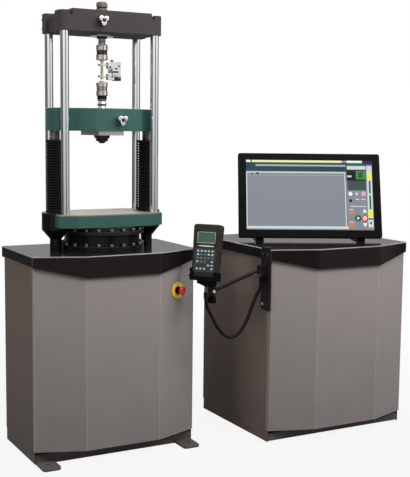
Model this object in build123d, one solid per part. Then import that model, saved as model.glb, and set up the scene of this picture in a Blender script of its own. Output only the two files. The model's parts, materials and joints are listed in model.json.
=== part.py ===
from build123d import *
import math
import os

os.makedirs("parts", exist_ok=True)

# Lengths in millimetres. The load axis stands on the floor at x 0, y 0.
# X runs to the right, Y to the back and Z up. Both cabinets face -Y.

# Sheet-metal cabinets
cabinet_height = 910.0
cover_sheet = 4.0
cover_edge_round = 3.0
lip_side = 49.0
lip_middle = 96.0
panel_sheet = 3.0
panel_inset = 9.0
panel_return = 30.0
skirt_gap = 4.0
plinth_height = 59.0
plinth_groove = 14.0
plinth_groove_depth = 10.0
plinth_inset = 15.0
plinth_wall = 40.0

# Cabinet under the load frame
frame_width = 780.0
frame_front = 176.0
frame_back = 252.0
frame_bow = 80.0
frame_facet_run = 214.0
bed_thickness = 40.0
bed_edge_gap = 12.0
leg_size = 60.0

# Anchor feet
tab_width = 80.0
tab_reach = 87.0
tab_thickness = 12.0
tab_corner = 16.0
tab_hole_radius = 9.0
tab_hole_from_side = 50.0
tab_hole_reach = 29.0
rear_tab_inset = 60.0
tie_width = 80.0

# Console cabinet
console_width = 790.0
console_left = 671.0
console_front = 372.0
console_depth = 653.0
console_bow = 75.0
console_facet_run = 219.0
console_pad_height = 8.0
console_pad_radius = 22.0
console_pad_from_edge = 60.0
console_floor_sheet = 6.0

# Hydraulic cylinder
head_flange_radius = 190.0
head_flange_height = 24.0
head_body_radius = 170.0
head_height = 70.0
spigot_radius = 150.0
ram_radius = 60.0
barrel_radius = 75.0
barrel_length = 330.0
barrel_floor = 30.0
barrel_oil_gap = 3.0

# Clearances
running_fit = 0.06
loose_fit = 0.3
hole_ease = 2.0
past = 1.0

# Columns and table
column_radius = 19.0
column_edge = 2.0
column_from_table_end = 35.0
column_y = 98.0
table_half_length = 247.0
table_end_half_depth = 113.0
table_middle_half_length = 170.0
table_half_depth = 150.0
table_lift = 108.0
table_height = 52.0
table_edge_round = 3.0
table_plate_height = 5.0
table_plate_inset = 3.0
column_seat_depth = 40.0
platen_flange_radius = 190.0
platen_flange_height = 15.0
platen_neck_radius = 170.0
platen_gap = 5.0

# Positioning screws, their guide towers and bellows
screw_x = 221.0
screw_radius = 20.0
screw_below_cover = 150.0
screw_neck = 40.0
screw_seat_depth = 62.0
tower_post_radius = 26.0
tower_head_radius = 61.0
tower_post_height = 52.0
tower_cone_height = 41.0
tower_head_height = 77.0
tower_slot_ease = 4.0
tower_guide_length = 60.0
tower_edge = 3.0
tower_bore_ease = 1.5
bellows_radius = 42.0
bellows_root_radius = 35.0
bellows_bore_radius = 31.0
bellows_cuff = 9.0
bellows_folds = 22
nut_radius = 38.0
nut_height = 70.0
wheel_radius = 70.0
wheel_height = 24.0
wheel_drop = 22.0
shaft_radius = 15.0
worm_radius = 24.0
worm_length = 70.0
worm_mesh_gap = 0.5
gearbox_x = -110.0
gearbox_width = 60.0
gearbox_depth = 64.0
gearbox_height = 78.0
motor_radius = 42.0
motor_length = 100.0
motor_drop = 20.0

# Adjustable crosshead
compression_gap = 363.0
crosshead_height = 99.0
crosshead_half_length = 252.0
crosshead_end_half_depth = 66.0
crosshead_end_run = 182.0
crosshead_middle_half_length = 80.0
crosshead_half_depth = 120.0
crosshead_end_round = 42.0
crosshead_edge_round = 4.0
retainer_half_width = 60.0
retainer_half_depth = 106.0
retainer_height = 19.0
retainer_edge = 2.0

# Top crosshead
tension_gap = 325.0
ear_height = 84.0
ear_radius = 29.0
block_height = 92.0
block_from_column = 27.0
end_recess_half_width = 58.0
end_recess_depth = 15.0
end_pocket_depth = 18.0
ear_notch_width = 13.0
ear_notch_depth = 17.0
ear_notch_length = 42.0
ear_saw_slot = 4.0

# Tension rods and holders
rod_radius = 20.0
stub_radius = 14.0
rod_top_radius = 15.0
rod_thread_proud = 5.0
hex_across = 46.0
hex_height = 24.0
flange_radius = 53.0
flange_height = 10.0
flange_edge = 2.0
holder_radius = 26.0
upper_rod_show = 34.0
holder_height = 68.0
holder_groove_radius = 23.5
holder_groove_height = 20.0
holder_edge = 3.0
lower_nut_height = 43.0
lower_holder_height = 62.0
lock_ring_radius = 21.5
lock_ring_height = 13.0
coupling_radius = 22.5
coupling_waist = 16.5
seat_upper_radius = 37.0
seat_upper_height = 14.0
seat_middle_radius = 27.0
seat_middle_height = 12.0
seat_tip_radius = 10.0
seat_tip_height = 10.0
seat_shoulder = 6.0
seat_taper = 5.0

# Specimen and extensometer
gauge_radius = 6.25
grip_radius = 9.0
grip_length = 44.0
specimen_gap = 0.3
shoulder_height = 3.0
gauge_run_out = 8.0
clip_body_x = 24.0
clip_body_length = 62.0
clip_body_depth = 26.0
clip_body_height = 30.0
clip_above_holder = 25.0
gauge_length = 50.0
clip_arm_height = 6.0
clip_arm_width = 18.0
clip_rail_radius = 4.0
clip_round = 4.0
clip_tip_reach = 4.0
clip_drum_radius = 21.0
clip_drum_depth = 34.0
clip_drum_from_end = 24.0

# Locking hand knobs on both crossheads
knob_lobe_radius = 11.0
knob_lobe_offset = 13.0
knob_hub_radius = 13.0
knob_thickness = 22.0
knob_gap = 6.0
knob_stem_radius = 8.0
knob_stem_depth = 30.0
knob_edge_round = 3.0
upper_knob_x = -52.0
upper_knob_up = 48.0
lower_knob_x = 40.0
lower_knob_up = 49.0

# Emergency stop on the right front facet
stop_along = 107.0
stop_drop = 183.0
stop_plate_radius = 37.0
stop_plate_height = 2.5
stop_body_radius = 11.0
stop_body_depth = 45.0
stop_collar_radius = 19.0
stop_collar_height = 6.0
stop_stem_radius = 6.0
stop_stem_below = 18.0
stop_head_radius = 20.0
stop_head_height = 19.0
stop_travel_gap = 11.0
stop_collar_taper = 2.0
stop_head_bevel = 6.0
stop_head_crown = 7.0
stop_head_round = 2.0

# Hydraulic power pack in the console
tank_width = 420.0
tank_depth = 360.0
tank_height = 300.0
tank_wall = 5.0
pump_motor_radius = 85.0
pump_motor_height = 250.0
pump_flange_radius = 100.0
pump_flange_height = 20.0
pump_crown = 20.0
tank_round = 20.0

# Pendant bracket and arm
bracket_thickness = 6.0
bracket_width = 72.0
bracket_height = 283.0
bracket_corner = 6.0
hook_setback = 6.0
hook_depth = 26.0
pivot_out = 30.0
pivot_setback = 36.0
pivot_drop = 94.0
clevis_plate = 6.0
clevis_radius = 13.0
arm_eye_height = 26.0
pivot_pin_radius = 5.0
pivot_pin_proud = 3.0
arm_tube_radius = 10.0
arm_neck_radius = 7.0
arm_neck_length = 42.0
arm_reach = 248.0
arm_drop = 81.0
arm_boss_radius = 19.0
arm_boss_height = 34.0
cord_lug_reach = 30.0
cord_lug_height = 14.0

# Handset on the arm
handset_yaw = -52.0
handset_lean = 10.0
handset_height = 247.0
handset_top_width = 133.0
handset_bottom_width = 118.0
handset_depth = 40.0
handset_corner = 14.0
handset_edge = 5.0
handset_lift = 43.0
handset_offset = 35.0
cradle_wall = 6.0
cradle_height = 40.0
cradle_corner = 5.0
cradle_lip = 14.0
cradle_lug_radius = 12.0
cradle_lug_reach = 8.0
cradle_lug_depth = 22.0
cradle_lug_heights = (14.0, 40.0)
cradle_stem_radius = 13.0
web_thickness = 12.0
web_left = 72.0
web_right = 20.0
web_foot = 30.0
web_edge = 16.0
web_gap = 1.0
window_width = 88.0
window_height = 52.0
window_from_top = 34.0
window_depth = 3.0
window_corner = 4.0
keypad_width = 96.0
keypad_height = 104.0
keypad_from_bottom = 34.0
keypad_depth = 2.0
keypad_corner = 5.0
clamp_radius = 18.0
clamp_height = 28.0
clamp_flutes = 6
clamp_flute_radius = 4.0
clamp_collar_radius = 10.0
clamp_collar_height = 8.0
stud_radius = 6.0

# Cord between the arm end and the bracket
cord_radius = 8.5
cord_gland_radius = 11.0
cord_gland_length = 16.0
bracket_gland_reach = 13.0
bracket_gland_shift = 14.0
bracket_gland_drop = 142.0
cord_start_drop = 128.0
cord_finish_drop = 81.0
cord_loop = [
    (-273.0, 1.0, -150.0),
    (-249.0, 2.0, -194.0),
    (-222.0, 3.0, -243.0),
    (-188.0, 4.0, -285.0),
    (-149.0, 5.0, -305.0),
    (-112.0, 6.0, -295.0),
    (-79.0, 8.0, -263.0),
    (-51.0, 9.0, -216.0),
    (-31.0, 11.0, -168.0),
    (-9.0, 12.0, -119.0),
]
cord_bend = 0.45

# Display on the console
display_yaw = -26.5
display_lean = 18.5
display_off_middle = 30.4
display_setback = 209.0
display_edge_up = 18.4
display_width = 709.0
display_height = 430.0
display_edge_depth = 22.0
display_corner = 10.0
display_edge_round = 2.0
display_bulge_depth = 24.0
display_bulge_inset = 70.0
screen_width = 630.0
screen_height = 355.0
screen_from_bottom = 39.0
screen_depth = 2.0
foot_x = 250.0
foot_width = 40.0
foot_slot_ease = 2.0
foot_bar_height = 9.0
foot_bar_length = 240.0
foot_bar_front = 12.0
foot_bar_corner = 6.0
foot_stem_depth = 12.0
knuckle_radius = 9.5
knuckle_up = 12.0
hinge_wall = 3.0
hinge_pin_radius = 4.0
hinge_pin_reach = 14.0

# Heights and places that follow from the sizes above
column_x = table_half_length - column_from_table_end
block_half_length = column_x - block_from_column
cover_underside = cabinet_height - cover_sheet
bed_underside = cover_underside - bed_thickness
lip_bottom = cabinet_height - lip_middle
table_underside = cabinet_height + table_lift
table_top = table_underside + table_height + table_plate_height
head_top = cabinet_height + head_height
platen_underside = head_top + platen_gap
tower_cone_low = cabinet_height + tower_post_height
tower_cone_high = tower_cone_low + tower_cone_height
tower_top = tower_cone_high + tower_head_height
screw_lower_end = cabinet_height - screw_below_cover
crosshead_underside = table_top + compression_gap
crosshead_top = crosshead_underside + crosshead_height
bellows_top = crosshead_underside - screw_neck
bellows_height = bellows_top - tower_top
retainer_underside = crosshead_underside - retainer_height
top_underside = crosshead_top + tension_gap
flange_bottom = top_underside - flange_height
upper_holder_top = flange_bottom - upper_rod_show
lower_holder_bottom = crosshead_top + lower_nut_height + lock_ring_height
lower_holder_top = lower_holder_bottom + lower_holder_height
clip_low = lower_holder_top + clip_above_holder
stop_z = cabinet_height - stop_drop
bracket_low = cabinet_height - bracket_height
bracket_x = console_left - bracket_thickness
pivot_x = bracket_x - pivot_out
pivot_y = console_front - pivot_setback
pivot_z = cabinet_height - pivot_drop
arm_end_x = pivot_x - arm_reach
arm_end_z = pivot_z - arm_drop
console_middle = console_left + console_width / 2
console_back = console_depth - console_front
barrel_bottom = cover_underside - barrel_length
ram_bottom = barrel_bottom + barrel_floor
nut_top = bed_underside
wheel_top = nut_top - wheel_drop
shaft_y = wheel_radius + worm_radius + worm_mesh_gap
shaft_z = wheel_top - wheel_height / 2


def bowed_plan(middle_x, width, front, back, bow, run):
    """Plan of a cabinet: square at the back, a bow of three facets at the front."""
    left = middle_x - width / 2
    right = middle_x + width / 2
    return Polygon(
        (left, -front),
        (left + run, -front - bow),
        (right - run, -front - bow),
        (right, -front),
        (right, back),
        (left, back),
        align=None,
    )


def inside(plan, distance):
    """The same plan with its edges moved in."""
    return offset(plan, amount=-distance, kind=Kind.INTERSECTION)


def prism(plan, low, high):
    """A plan raised between two heights."""
    return extrude(Pos(0, 0, low) * plan, amount=high - low)


def block(x_low, x_high, y_low, y_high, z_low, z_high):
    """A rectangular block between six faces."""
    size = Box(x_high - x_low, y_high - y_low, z_high - z_low)
    return Pos((x_low + x_high) / 2, (y_low + y_high) / 2, (z_low + z_high) / 2) * size


def rod(x, y, radius, low, high):
    """An upright round bar."""
    return Pos(x, y, (low + high) / 2) * Cylinder(radius, high - low)


def turned(points, x=0.0, y=0.0):
    """A turned piece: its half profile in radius and height, spun about an upright axis."""
    profile = make_face(Plane.XZ * Polyline(*points, close=True))
    return Pos(x, y, 0) * revolve(profile, Axis.Z)


def hexagon(across, low, high):
    """A hexagon bar on the load axis, measured across its flats."""
    return prism(RegularPolygon(across / 2, 6, major_radius=False), low, high)


def save(shape, name):
    """Writes one node."""
    export_step(shape, "parts/" + name + ".step")


def cabinet(middle_x, width, front, back, bow, run, low):
    """The sheet-metal skin of a cabinet: cover, bowed front, two sides and the rear."""
    plan = bowed_plan(middle_x, width, front, back, bow, run)
    reach = width
    left = middle_x - width / 2
    right = middle_x + width / 2
    cover = prism(plan, lip_bottom, cabinet_height)
    cover = fillet(cover.edges().group_by(Axis.Z)[-1], cover_edge_round)
    cover -= prism(inside(plan, cover_sheet), lip_bottom, cover_underside)
    cover -= block(
        left - reach, right + reach, -front, back + reach, lip_bottom - past, cabinet_height - lip_side
    )
    slope = Polyline(
        (left - past, lip_bottom - past),
        (left - past, cabinet_height - lip_side),
        (left, cabinet_height - lip_side),
        (left + run, lip_bottom),
        (right - run, lip_bottom),
        (right, cabinet_height - lip_side),
        (right + past, cabinet_height - lip_side),
        (right + past, lip_bottom - past),
        close=True,
    )
    cover -= extrude(
        Pos(0, -front, 0) * make_face(Plane.XZ * slope), amount=bow + past, dir=(0, -1, 0)
    )
    skin = inside(plan, panel_inset) - inside(plan, panel_inset + panel_sheet)
    wall = prism(skin, low, cover_underside)
    front_seam = -front + panel_return
    rear_seam = back - panel_inset - panel_return
    front_zone = block(
        left - past, right + past, -front - bow - past, front_seam, low - past, cabinet_height
    )
    rear_zone = block(left - past, right + past, rear_seam, back + past, low - past, cabinet_height)
    left_zone = block(left - past, middle_x, front_seam, rear_seam, low - past, cabinet_height)
    right_zone = block(middle_x, right + past, front_seam, rear_seam, low - past, cabinet_height)
    skirt = prism(skin, skirt_gap, low)
    skirt_front = -front + plinth_inset
    skirt_back = back - plinth_inset
    reveal = panel_inset + panel_sheet
    left_skirt = skirt & block(left, left + reveal, skirt_front, skirt_back, 0, low)
    right_skirt = skirt & block(right - reveal, right, skirt_front, skirt_back, 0, low)
    left_side = wall & left_zone
    right_side = wall & right_zone
    return cover, wall & front_zone, left_side + left_skirt, right_side + right_skirt, wall & rear_zone


def plinth(middle_x, width, front, back, low):
    """The floor frame of a cabinet, with a dark groove under the panels."""
    half = width / 2 - plinth_inset
    outer = block(
        middle_x - half, middle_x + half, -front + plinth_inset, back - plinth_inset, low, plinth_height
    )
    neck_half = half - plinth_groove_depth
    neck_front = -front + plinth_inset + plinth_groove_depth
    neck_back = back - plinth_inset - plinth_groove_depth
    groove_low = plinth_height - plinth_groove
    rim = panel_inset + panel_sheet
    groove = block(
        middle_x - width, middle_x + width, -width, width, groove_low, plinth_height - panel_sheet
    )
    groove -= block(middle_x - neck_half, middle_x + neck_half, neck_front, neck_back, low, plinth_height)
    ledge = block(
        middle_x - width / 2 + rim,
        middle_x + width / 2 - rim,
        -front + rim - panel_sheet,
        back - rim + panel_sheet,
        plinth_height - panel_sheet,
        plinth_height,
    )
    inner_half = half - plinth_wall
    hollow = block(
        middle_x - inner_half,
        middle_x + inner_half,
        -front + plinth_inset + plinth_wall,
        back - plinth_inset - plinth_wall,
        low - past,
        plinth_height + past,
    )
    return outer - groove + ledge - hollow


# Load frame cabinet: cover and panels
frame_cover, frame_front_panel, frame_left, frame_right, frame_rear = cabinet(
    0.0, frame_width, frame_front, frame_back, frame_bow, frame_facet_run, plinth_height
)
frame_cover -= rod(0, 0, spigot_radius + hole_ease, lip_bottom, cabinet_height + past)
for side in (-1, 1):
    frame_cover -= rod(side * screw_x, 0, tower_post_radius + hole_ease, lip_bottom, cabinet_height + past)

# Welded base frame: floor frame with four anchor tabs, four legs and the thick bed
base_frame = plinth(0.0, frame_width, frame_front, frame_back, 0.0)
tab_side = frame_width / 2 - plinth_inset
for side in (-1, 1):
    for edge, way in ((-frame_front, -1), (frame_back, 1)):
        tip = edge + way * tab_reach
        root = edge - way * (plinth_inset + plinth_wall)
        tab_outer = tab_side if way < 0 else tab_side - rear_tab_inset
        tab = block(tab_outer - tab_width, tab_outer, min(tip, root), max(tip, root), 0, tab_thickness)
        tip_edges = tab.edges().filter_by(Axis.Z).sort_by(Axis.Y)
        tip_edges = tip_edges[:2] if way < 0 else tip_edges[-2:]
        tab = fillet(tip_edges, tab_corner)
        hole_x = tab_outer + plinth_inset - tab_hole_from_side
        tab -= rod(hole_x, edge + way * tab_hole_reach, tab_hole_radius, -1, tab_thickness + past)
        base_frame += tab if side > 0 else mirror(tab, Plane.YZ)
tie_reach = tab_side - plinth_wall / 2
base_frame += block(-tie_reach, tie_reach, -tie_width / 2, tie_width / 2, 0, tab_thickness)
leg_x = frame_width / 2 - plinth_inset - plinth_wall
leg_front = -frame_front + plinth_inset + plinth_wall
leg_back = frame_back - plinth_inset - plinth_wall
for side in (-1, 1):
    for leg_y in (leg_front, leg_back - leg_size):
        leg_low_x = leg_x - leg_size if side > 0 else -leg_x
        foot_low = plinth_height - panel_sheet
        base_frame += block(
            leg_low_x, leg_low_x + leg_size, leg_y, leg_y + leg_size, foot_low, bed_underside + past
        )
        shoe_edge = side * (leg_x + plinth_wall / 2)
        shoe_low = min(leg_low_x, shoe_edge)
        shoe_high = max(leg_low_x + leg_size, shoe_edge)
        base_frame += block(shoe_low, shoe_high, leg_y, leg_y + leg_size, foot_low, plinth_height)
bed_half = frame_width / 2 - panel_inset - panel_sheet - bed_edge_gap
bed_front = -frame_front + panel_inset + panel_sheet + bed_edge_gap
bed_back = frame_back - panel_inset - panel_sheet - bed_edge_gap
base_frame += block(-bed_half, bed_half, bed_front, bed_back, bed_underside, cover_underside)
base_frame -= rod(0, 0, barrel_radius + loose_fit, bed_underside - past, cover_underside + past)
for side in (-1, 1):
    base_frame -= rod(
        side * screw_x, 0, screw_radius + hole_ease, bed_underside - past, cover_underside + past
    )

# Hydraulic cylinder: flanged head on the cover, barrel below it and the ram
cylinder_head = turned(
    [
        (ram_radius + running_fit, cover_underside),
        (spigot_radius, cover_underside),
        (spigot_radius, cabinet_height),
        (head_flange_radius, cabinet_height),
        (head_flange_radius, cabinet_height + head_flange_height),
        (head_body_radius, cabinet_height + head_flange_height),
        (head_body_radius, head_top),
        (ram_radius + running_fit, head_top),
    ]
)
cylinder_barrel = turned(
    [
        (0, barrel_bottom),
        (barrel_radius, barrel_bottom),
        (barrel_radius, cover_underside),
        (ram_radius + barrel_oil_gap, cover_underside),
        (ram_radius + barrel_oil_gap, ram_bottom),
        (0, ram_bottom),
    ]
)
ram = rod(0, 0, ram_radius, ram_bottom, platen_underside)

# Table: bowed casting on a round platen, slotted at both ends for the guide towers
table_plan = Polygon(
    (-table_half_length, -table_end_half_depth),
    (-table_middle_half_length, -table_half_depth),
    (table_middle_half_length, -table_half_depth),
    (table_half_length, -table_end_half_depth),
    (table_half_length, table_end_half_depth),
    (table_middle_half_length, table_half_depth),
    (-table_middle_half_length, table_half_depth),
    (-table_half_length, table_end_half_depth),
    align=None,
)
casting_top = table_underside + table_height
column_seat = casting_top - column_seat_depth
table = prism(table_plan, table_underside, casting_top)
table = fillet(table.edges().filter_by(Axis.Z), table_edge_round)
platen_ledge = platen_underside + platen_flange_height
table += rod(0, 0, platen_flange_radius, platen_underside, platen_ledge)
table += rod(0, 0, platen_neck_radius, platen_ledge, table_underside)
table_plate = prism(inside(table_plan, table_plate_inset), casting_top, table_top)
slot_radius = tower_head_radius + tower_slot_ease
for side in (-1, 1):
    slot = rod(side * screw_x, 0, slot_radius, platen_underside - past, table_top + past)
    slot_low = min(side * screw_x, side * table_half_length * 2)
    slot_high = max(side * screw_x, side * table_half_length * 2)
    slot += block(slot_low, slot_high, -slot_radius, slot_radius, platen_underside - past, table_top + past)
    table -= slot
    table_plate -= slot
column_places = {
    "column_front_left": (-column_x, -column_y),
    "column_front_right": (column_x, -column_y),
    "column_back_left": (-column_x, column_y),
    "column_back_right": (column_x, column_y),
}
top_of_columns = top_underside + ear_height
for name, (x, y) in column_places.items():
    table -= rod(x, y, column_radius + loose_fit, column_seat, table_top)
    table_plate -= rod(x, y, column_radius + loose_fit, casting_top - past, table_top + past)
    column = rod(x, y, column_radius, column_seat, top_of_columns)
    save(chamfer(column.edges().group_by(Axis.Z)[-1], column_edge), name)

# Top crosshead: four split clamp ears, recessed ends and a raised middle block
ear_reach_x = column_x + ear_radius
ear_reach_y = column_y + ear_radius
ear_top = top_underside + ear_height
block_top = top_underside + block_height
top_plan = RectangleRounded(2 * ear_reach_x, 2 * ear_reach_y, ear_radius - 0.01)
top_crosshead = prism(top_plan, top_underside, ear_top)
top_crosshead += block(
    -block_half_length, block_half_length, -ear_reach_y, ear_reach_y, top_underside, block_top
)
for side in (-1, 1):
    recess_near = side * (ear_reach_x - end_recess_depth)
    recess_far = side * (ear_reach_x + past)
    recess_low = min(recess_near, recess_far)
    recess_high = max(recess_near, recess_far)
    recess_half = end_recess_half_width
    top_crosshead -= block(
        recess_low, recess_high, -recess_half, recess_half, top_underside - past, ear_top + past
    )
    pocket_low = min(side * block_half_length, recess_far)
    pocket_high = max(side * block_half_length, recess_far)
    pocket_floor = ear_top - end_pocket_depth
    top_crosshead -= block(pocket_low, pocket_high, -recess_half, recess_half, pocket_floor, ear_top + past)
    notch_low = min(side * block_half_length, side * (block_half_length + ear_notch_width))
    for way in (-1, 1):
        notch_near = way * (ear_reach_y - ear_notch_length)
        notch_far = way * (ear_reach_y + past)
        top_crosshead -= block(
            notch_low,
            notch_low + ear_notch_width,
            min(notch_near, notch_far),
            max(notch_near, notch_far),
            ear_top - ear_notch_depth,
            ear_top + past,
        )
        saw_low = min(side * column_x, recess_far)
        saw_high = max(side * column_x, recess_far)
        saw_y = way * column_y
        saw_half = ear_saw_slot / 2
        top_crosshead -= block(
            saw_low, saw_high, saw_y - saw_half, saw_y + saw_half, top_underside - past, ear_top + past
        )
        bore_radius = column_radius + loose_fit
        top_crosshead -= rod(
            side * column_x, way * column_y, bore_radius, top_underside - past, ear_top + past
        )
top_crosshead -= rod(0, 0, rod_top_radius + loose_fit, top_underside - past, block_top + past)
rod_thread_top = block_top + 2 * hex_height + rod_thread_proud

# Upper tension rod with its nuts, flange and specimen holder
upper_holder_bottom = upper_holder_top - holder_height
socket_top = upper_holder_bottom + grip_length
upper_rod = turned(
    [
        (0, socket_top),
        (stub_radius, socket_top),
        (stub_radius, flange_bottom),
        (rod_top_radius, flange_bottom),
        (rod_top_radius, rod_thread_top),
        (0, rod_thread_top),
    ]
)
upper_nut = hexagon(hex_across, block_top, block_top + 2 * hex_height)
upper_nut -= rod(0, 0, rod_top_radius + loose_fit, block_top - past, rod_thread_top)
upper_flange = rod(0, 0, flange_radius, flange_bottom, top_underside)
upper_flange = chamfer(upper_flange.edges().group_by(Axis.Z)[0], flange_edge)
upper_flange -= rod(0, 0, rod_top_radius + loose_fit, flange_bottom - past, top_underside + past)


def holder(low, high, socket_from_top):
    """A round specimen holder with a waist groove, a rod socket and a grip socket."""
    middle = (low + high) / 2
    half_groove = holder_groove_height / 2
    shape = turned(
        [
            (0, low),
            (holder_radius - holder_edge, low),
            (holder_radius, low + holder_edge),
            (holder_radius, middle - half_groove),
            (holder_groove_radius, middle - half_groove),
            (holder_groove_radius, middle + half_groove),
            (holder_radius, middle + half_groove),
            (holder_radius, high - holder_edge),
            (holder_radius - holder_edge, high),
            (0, high),
        ]
    )
    if socket_from_top:
        shape -= rod(0, 0, grip_radius + loose_fit, high - grip_length, high + past)
        return shape - rod(0, 0, stub_radius + loose_fit, low - past, high - grip_length)
    shape -= rod(0, 0, grip_radius + loose_fit, low - past, low + grip_length)
    return shape - rod(0, 0, stub_radius + loose_fit, low + grip_length, high + past)


upper_holder = holder(upper_holder_bottom, upper_holder_top, False)
lower_holder = holder(lower_holder_bottom, lower_holder_top, True)
lower_socket = lower_holder_top - grip_length
specimen_low = lower_holder_top + specimen_gap
shoulder_top = specimen_low + shoulder_height
specimen = turned(
    [
        (0, specimen_low),
        (grip_radius, specimen_low),
        (grip_radius, shoulder_top),
        (gauge_radius, shoulder_top + gauge_run_out),
        (gauge_radius, upper_holder_bottom - gauge_run_out),
        (grip_radius, upper_holder_bottom),
        (grip_radius, socket_top),
        (0, socket_top),
    ]
)

# Clip-on extensometer: two arms on the gauge length, two rails and two bodies
clip_high = clip_low + gauge_length
clip_arm_half = clip_arm_width / 2
clip_body_end = clip_body_x + clip_body_length
clip_half_depth = clip_body_depth / 2
clip_drum = Rot(90, 0, 0) * Cylinder(clip_drum_radius, clip_drum_depth)
extensometer = Pos(clip_body_end - clip_drum_from_end, 0, (clip_low + clip_high) / 2) * clip_drum
for level in (clip_low, clip_high):
    body_low = level - clip_body_height / 2
    body = block(
        clip_body_x,
        clip_body_end,
        -clip_half_depth,
        clip_half_depth,
        body_low,
        body_low + clip_body_height,
    )
    extensometer += fillet(body.edges().filter_by(Axis.Y), clip_round)
    arm_low = level - clip_arm_height / 2
    arm = block(
        -grip_radius - clip_tip_reach,
        clip_body_x,
        -clip_arm_half,
        clip_arm_half,
        arm_low,
        arm_low + clip_arm_height,
    )
    extensometer += arm - rod(
        0, 0, gauge_radius + loose_fit, arm_low - past, arm_low + clip_arm_height + past
    )
for rail_x in (clip_body_x + 2 * clip_rail_radius, clip_body_end - 2 * clip_rail_radius):
    extensometer += rod(rail_x, 0, clip_rail_radius, clip_low, clip_high)

# Adjustable crosshead: green casting, deepest on the load axis, round at the screw ends
crosshead_plan = Polygon(
    (-crosshead_half_length, -crosshead_end_half_depth),
    (-crosshead_end_run, -crosshead_end_half_depth),
    (-crosshead_middle_half_length, -crosshead_half_depth),
    (crosshead_middle_half_length, -crosshead_half_depth),
    (crosshead_end_run, -crosshead_end_half_depth),
    (crosshead_half_length, -crosshead_end_half_depth),
    (crosshead_half_length, crosshead_end_half_depth),
    (crosshead_end_run, crosshead_end_half_depth),
    (crosshead_middle_half_length, crosshead_half_depth),
    (-crosshead_middle_half_length, crosshead_half_depth),
    (-crosshead_end_run, crosshead_end_half_depth),
    (-crosshead_half_length, crosshead_end_half_depth),
    align=None,
)
crosshead = prism(crosshead_plan, crosshead_underside, crosshead_top)
end_edges = crosshead.edges().filter_by(Axis.Z).sort_by(Axis.X)
crosshead = fillet(end_edges[:2] + end_edges[-2:], crosshead_end_round)
crosshead = fillet(crosshead.edges().group_by(Axis.Z)[-1], crosshead_edge_round)
crosshead -= rod(0, 0, rod_radius + loose_fit, crosshead_underside - past, crosshead_top + past)
seat_top = crosshead_underside + screw_seat_depth
for side in (-1, 1):
    crosshead -= rod(side * screw_x, 0, screw_radius + loose_fit, crosshead_underside - past, seat_top)

# Lower tension rod, its seat under the retainer plate and the bright lock nut on top
retainer_plate = block(
    -retainer_half_width,
    retainer_half_width,
    -retainer_half_depth,
    retainer_half_depth,
    retainer_underside,
    crosshead_underside,
)
retainer_plate = chamfer(retainer_plate.edges().filter_by(Axis.Z), retainer_edge)
retainer_plate -= rod(0, 0, rod_radius + loose_fit, retainer_underside - past, crosshead_underside + past)
seat_step = retainer_underside - seat_upper_height
seat_low = seat_step - seat_middle_height
seat_tip = seat_low - seat_tip_height
lower_rod = turned(
    [
        (0, seat_tip),
        (seat_tip_radius, seat_tip),
        (seat_middle_radius - seat_shoulder, seat_low),
        (seat_middle_radius, seat_low),
        (seat_middle_radius, seat_step),
        (seat_upper_radius - seat_taper, seat_step),
        (seat_upper_radius, retainer_underside),
        (rod_radius, retainer_underside),
        (rod_radius, crosshead_top),
        (stub_radius, crosshead_top),
        (stub_radius, lower_socket),
        (0, lower_socket),
    ]
)
coupling_quarter = lower_nut_height / 4
lock_ring_low = crosshead_top + lower_nut_height
lower_nut = turned(
    [
        (stub_radius + loose_fit, crosshead_top),
        (coupling_radius, crosshead_top),
        (coupling_waist, crosshead_top + coupling_quarter),
        (coupling_radius, crosshead_top + 2 * coupling_quarter),
        (coupling_waist, crosshead_top + 3 * coupling_quarter),
        (lock_ring_radius, lock_ring_low),
        (lock_ring_radius, lower_holder_bottom),
        (stub_radius + loose_fit, lower_holder_bottom),
    ]
)


def hand_knob(x, face_y, z):
    """A three-lobed clamp knob on a stem, pointing forward from a front face."""
    face = Plane(origin=(x, face_y, z), x_dir=(1, 0, 0), z_dir=(0, -1, 0))
    lobes = Circle(knob_hub_radius)
    for turn in (30, 150, 270):
        out = math.radians(turn)
        lobes += Pos(knob_lobe_offset * math.cos(out), knob_lobe_offset * math.sin(out)) * Circle(
            knob_lobe_radius
        )
    shape = extrude(Pos(0, 0, knob_gap) * lobes, amount=knob_thickness)
    shape = fillet(shape.edges().group_by(Axis.Z)[-1], knob_edge_round)
    stem_length = knob_stem_depth + knob_gap
    shape += Pos(0, 0, knob_gap - stem_length / 2) * Cylinder(knob_stem_radius, stem_length)
    hole_depth = knob_stem_depth + past
    hole = Pos(0, 0, 0.5 - hole_depth / 2) * Cylinder(knob_stem_radius + running_fit, hole_depth + past)
    return face * shape, face * hole


upper_knob, upper_knob_hole = hand_knob(upper_knob_x, -ear_reach_y, top_underside + upper_knob_up)
lower_knob_z = crosshead_underside + lower_knob_up
lower_knob, lower_knob_hole = hand_knob(lower_knob_x, -crosshead_half_depth, lower_knob_z)
top_crosshead -= upper_knob_hole
crosshead -= lower_knob_hole

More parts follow.
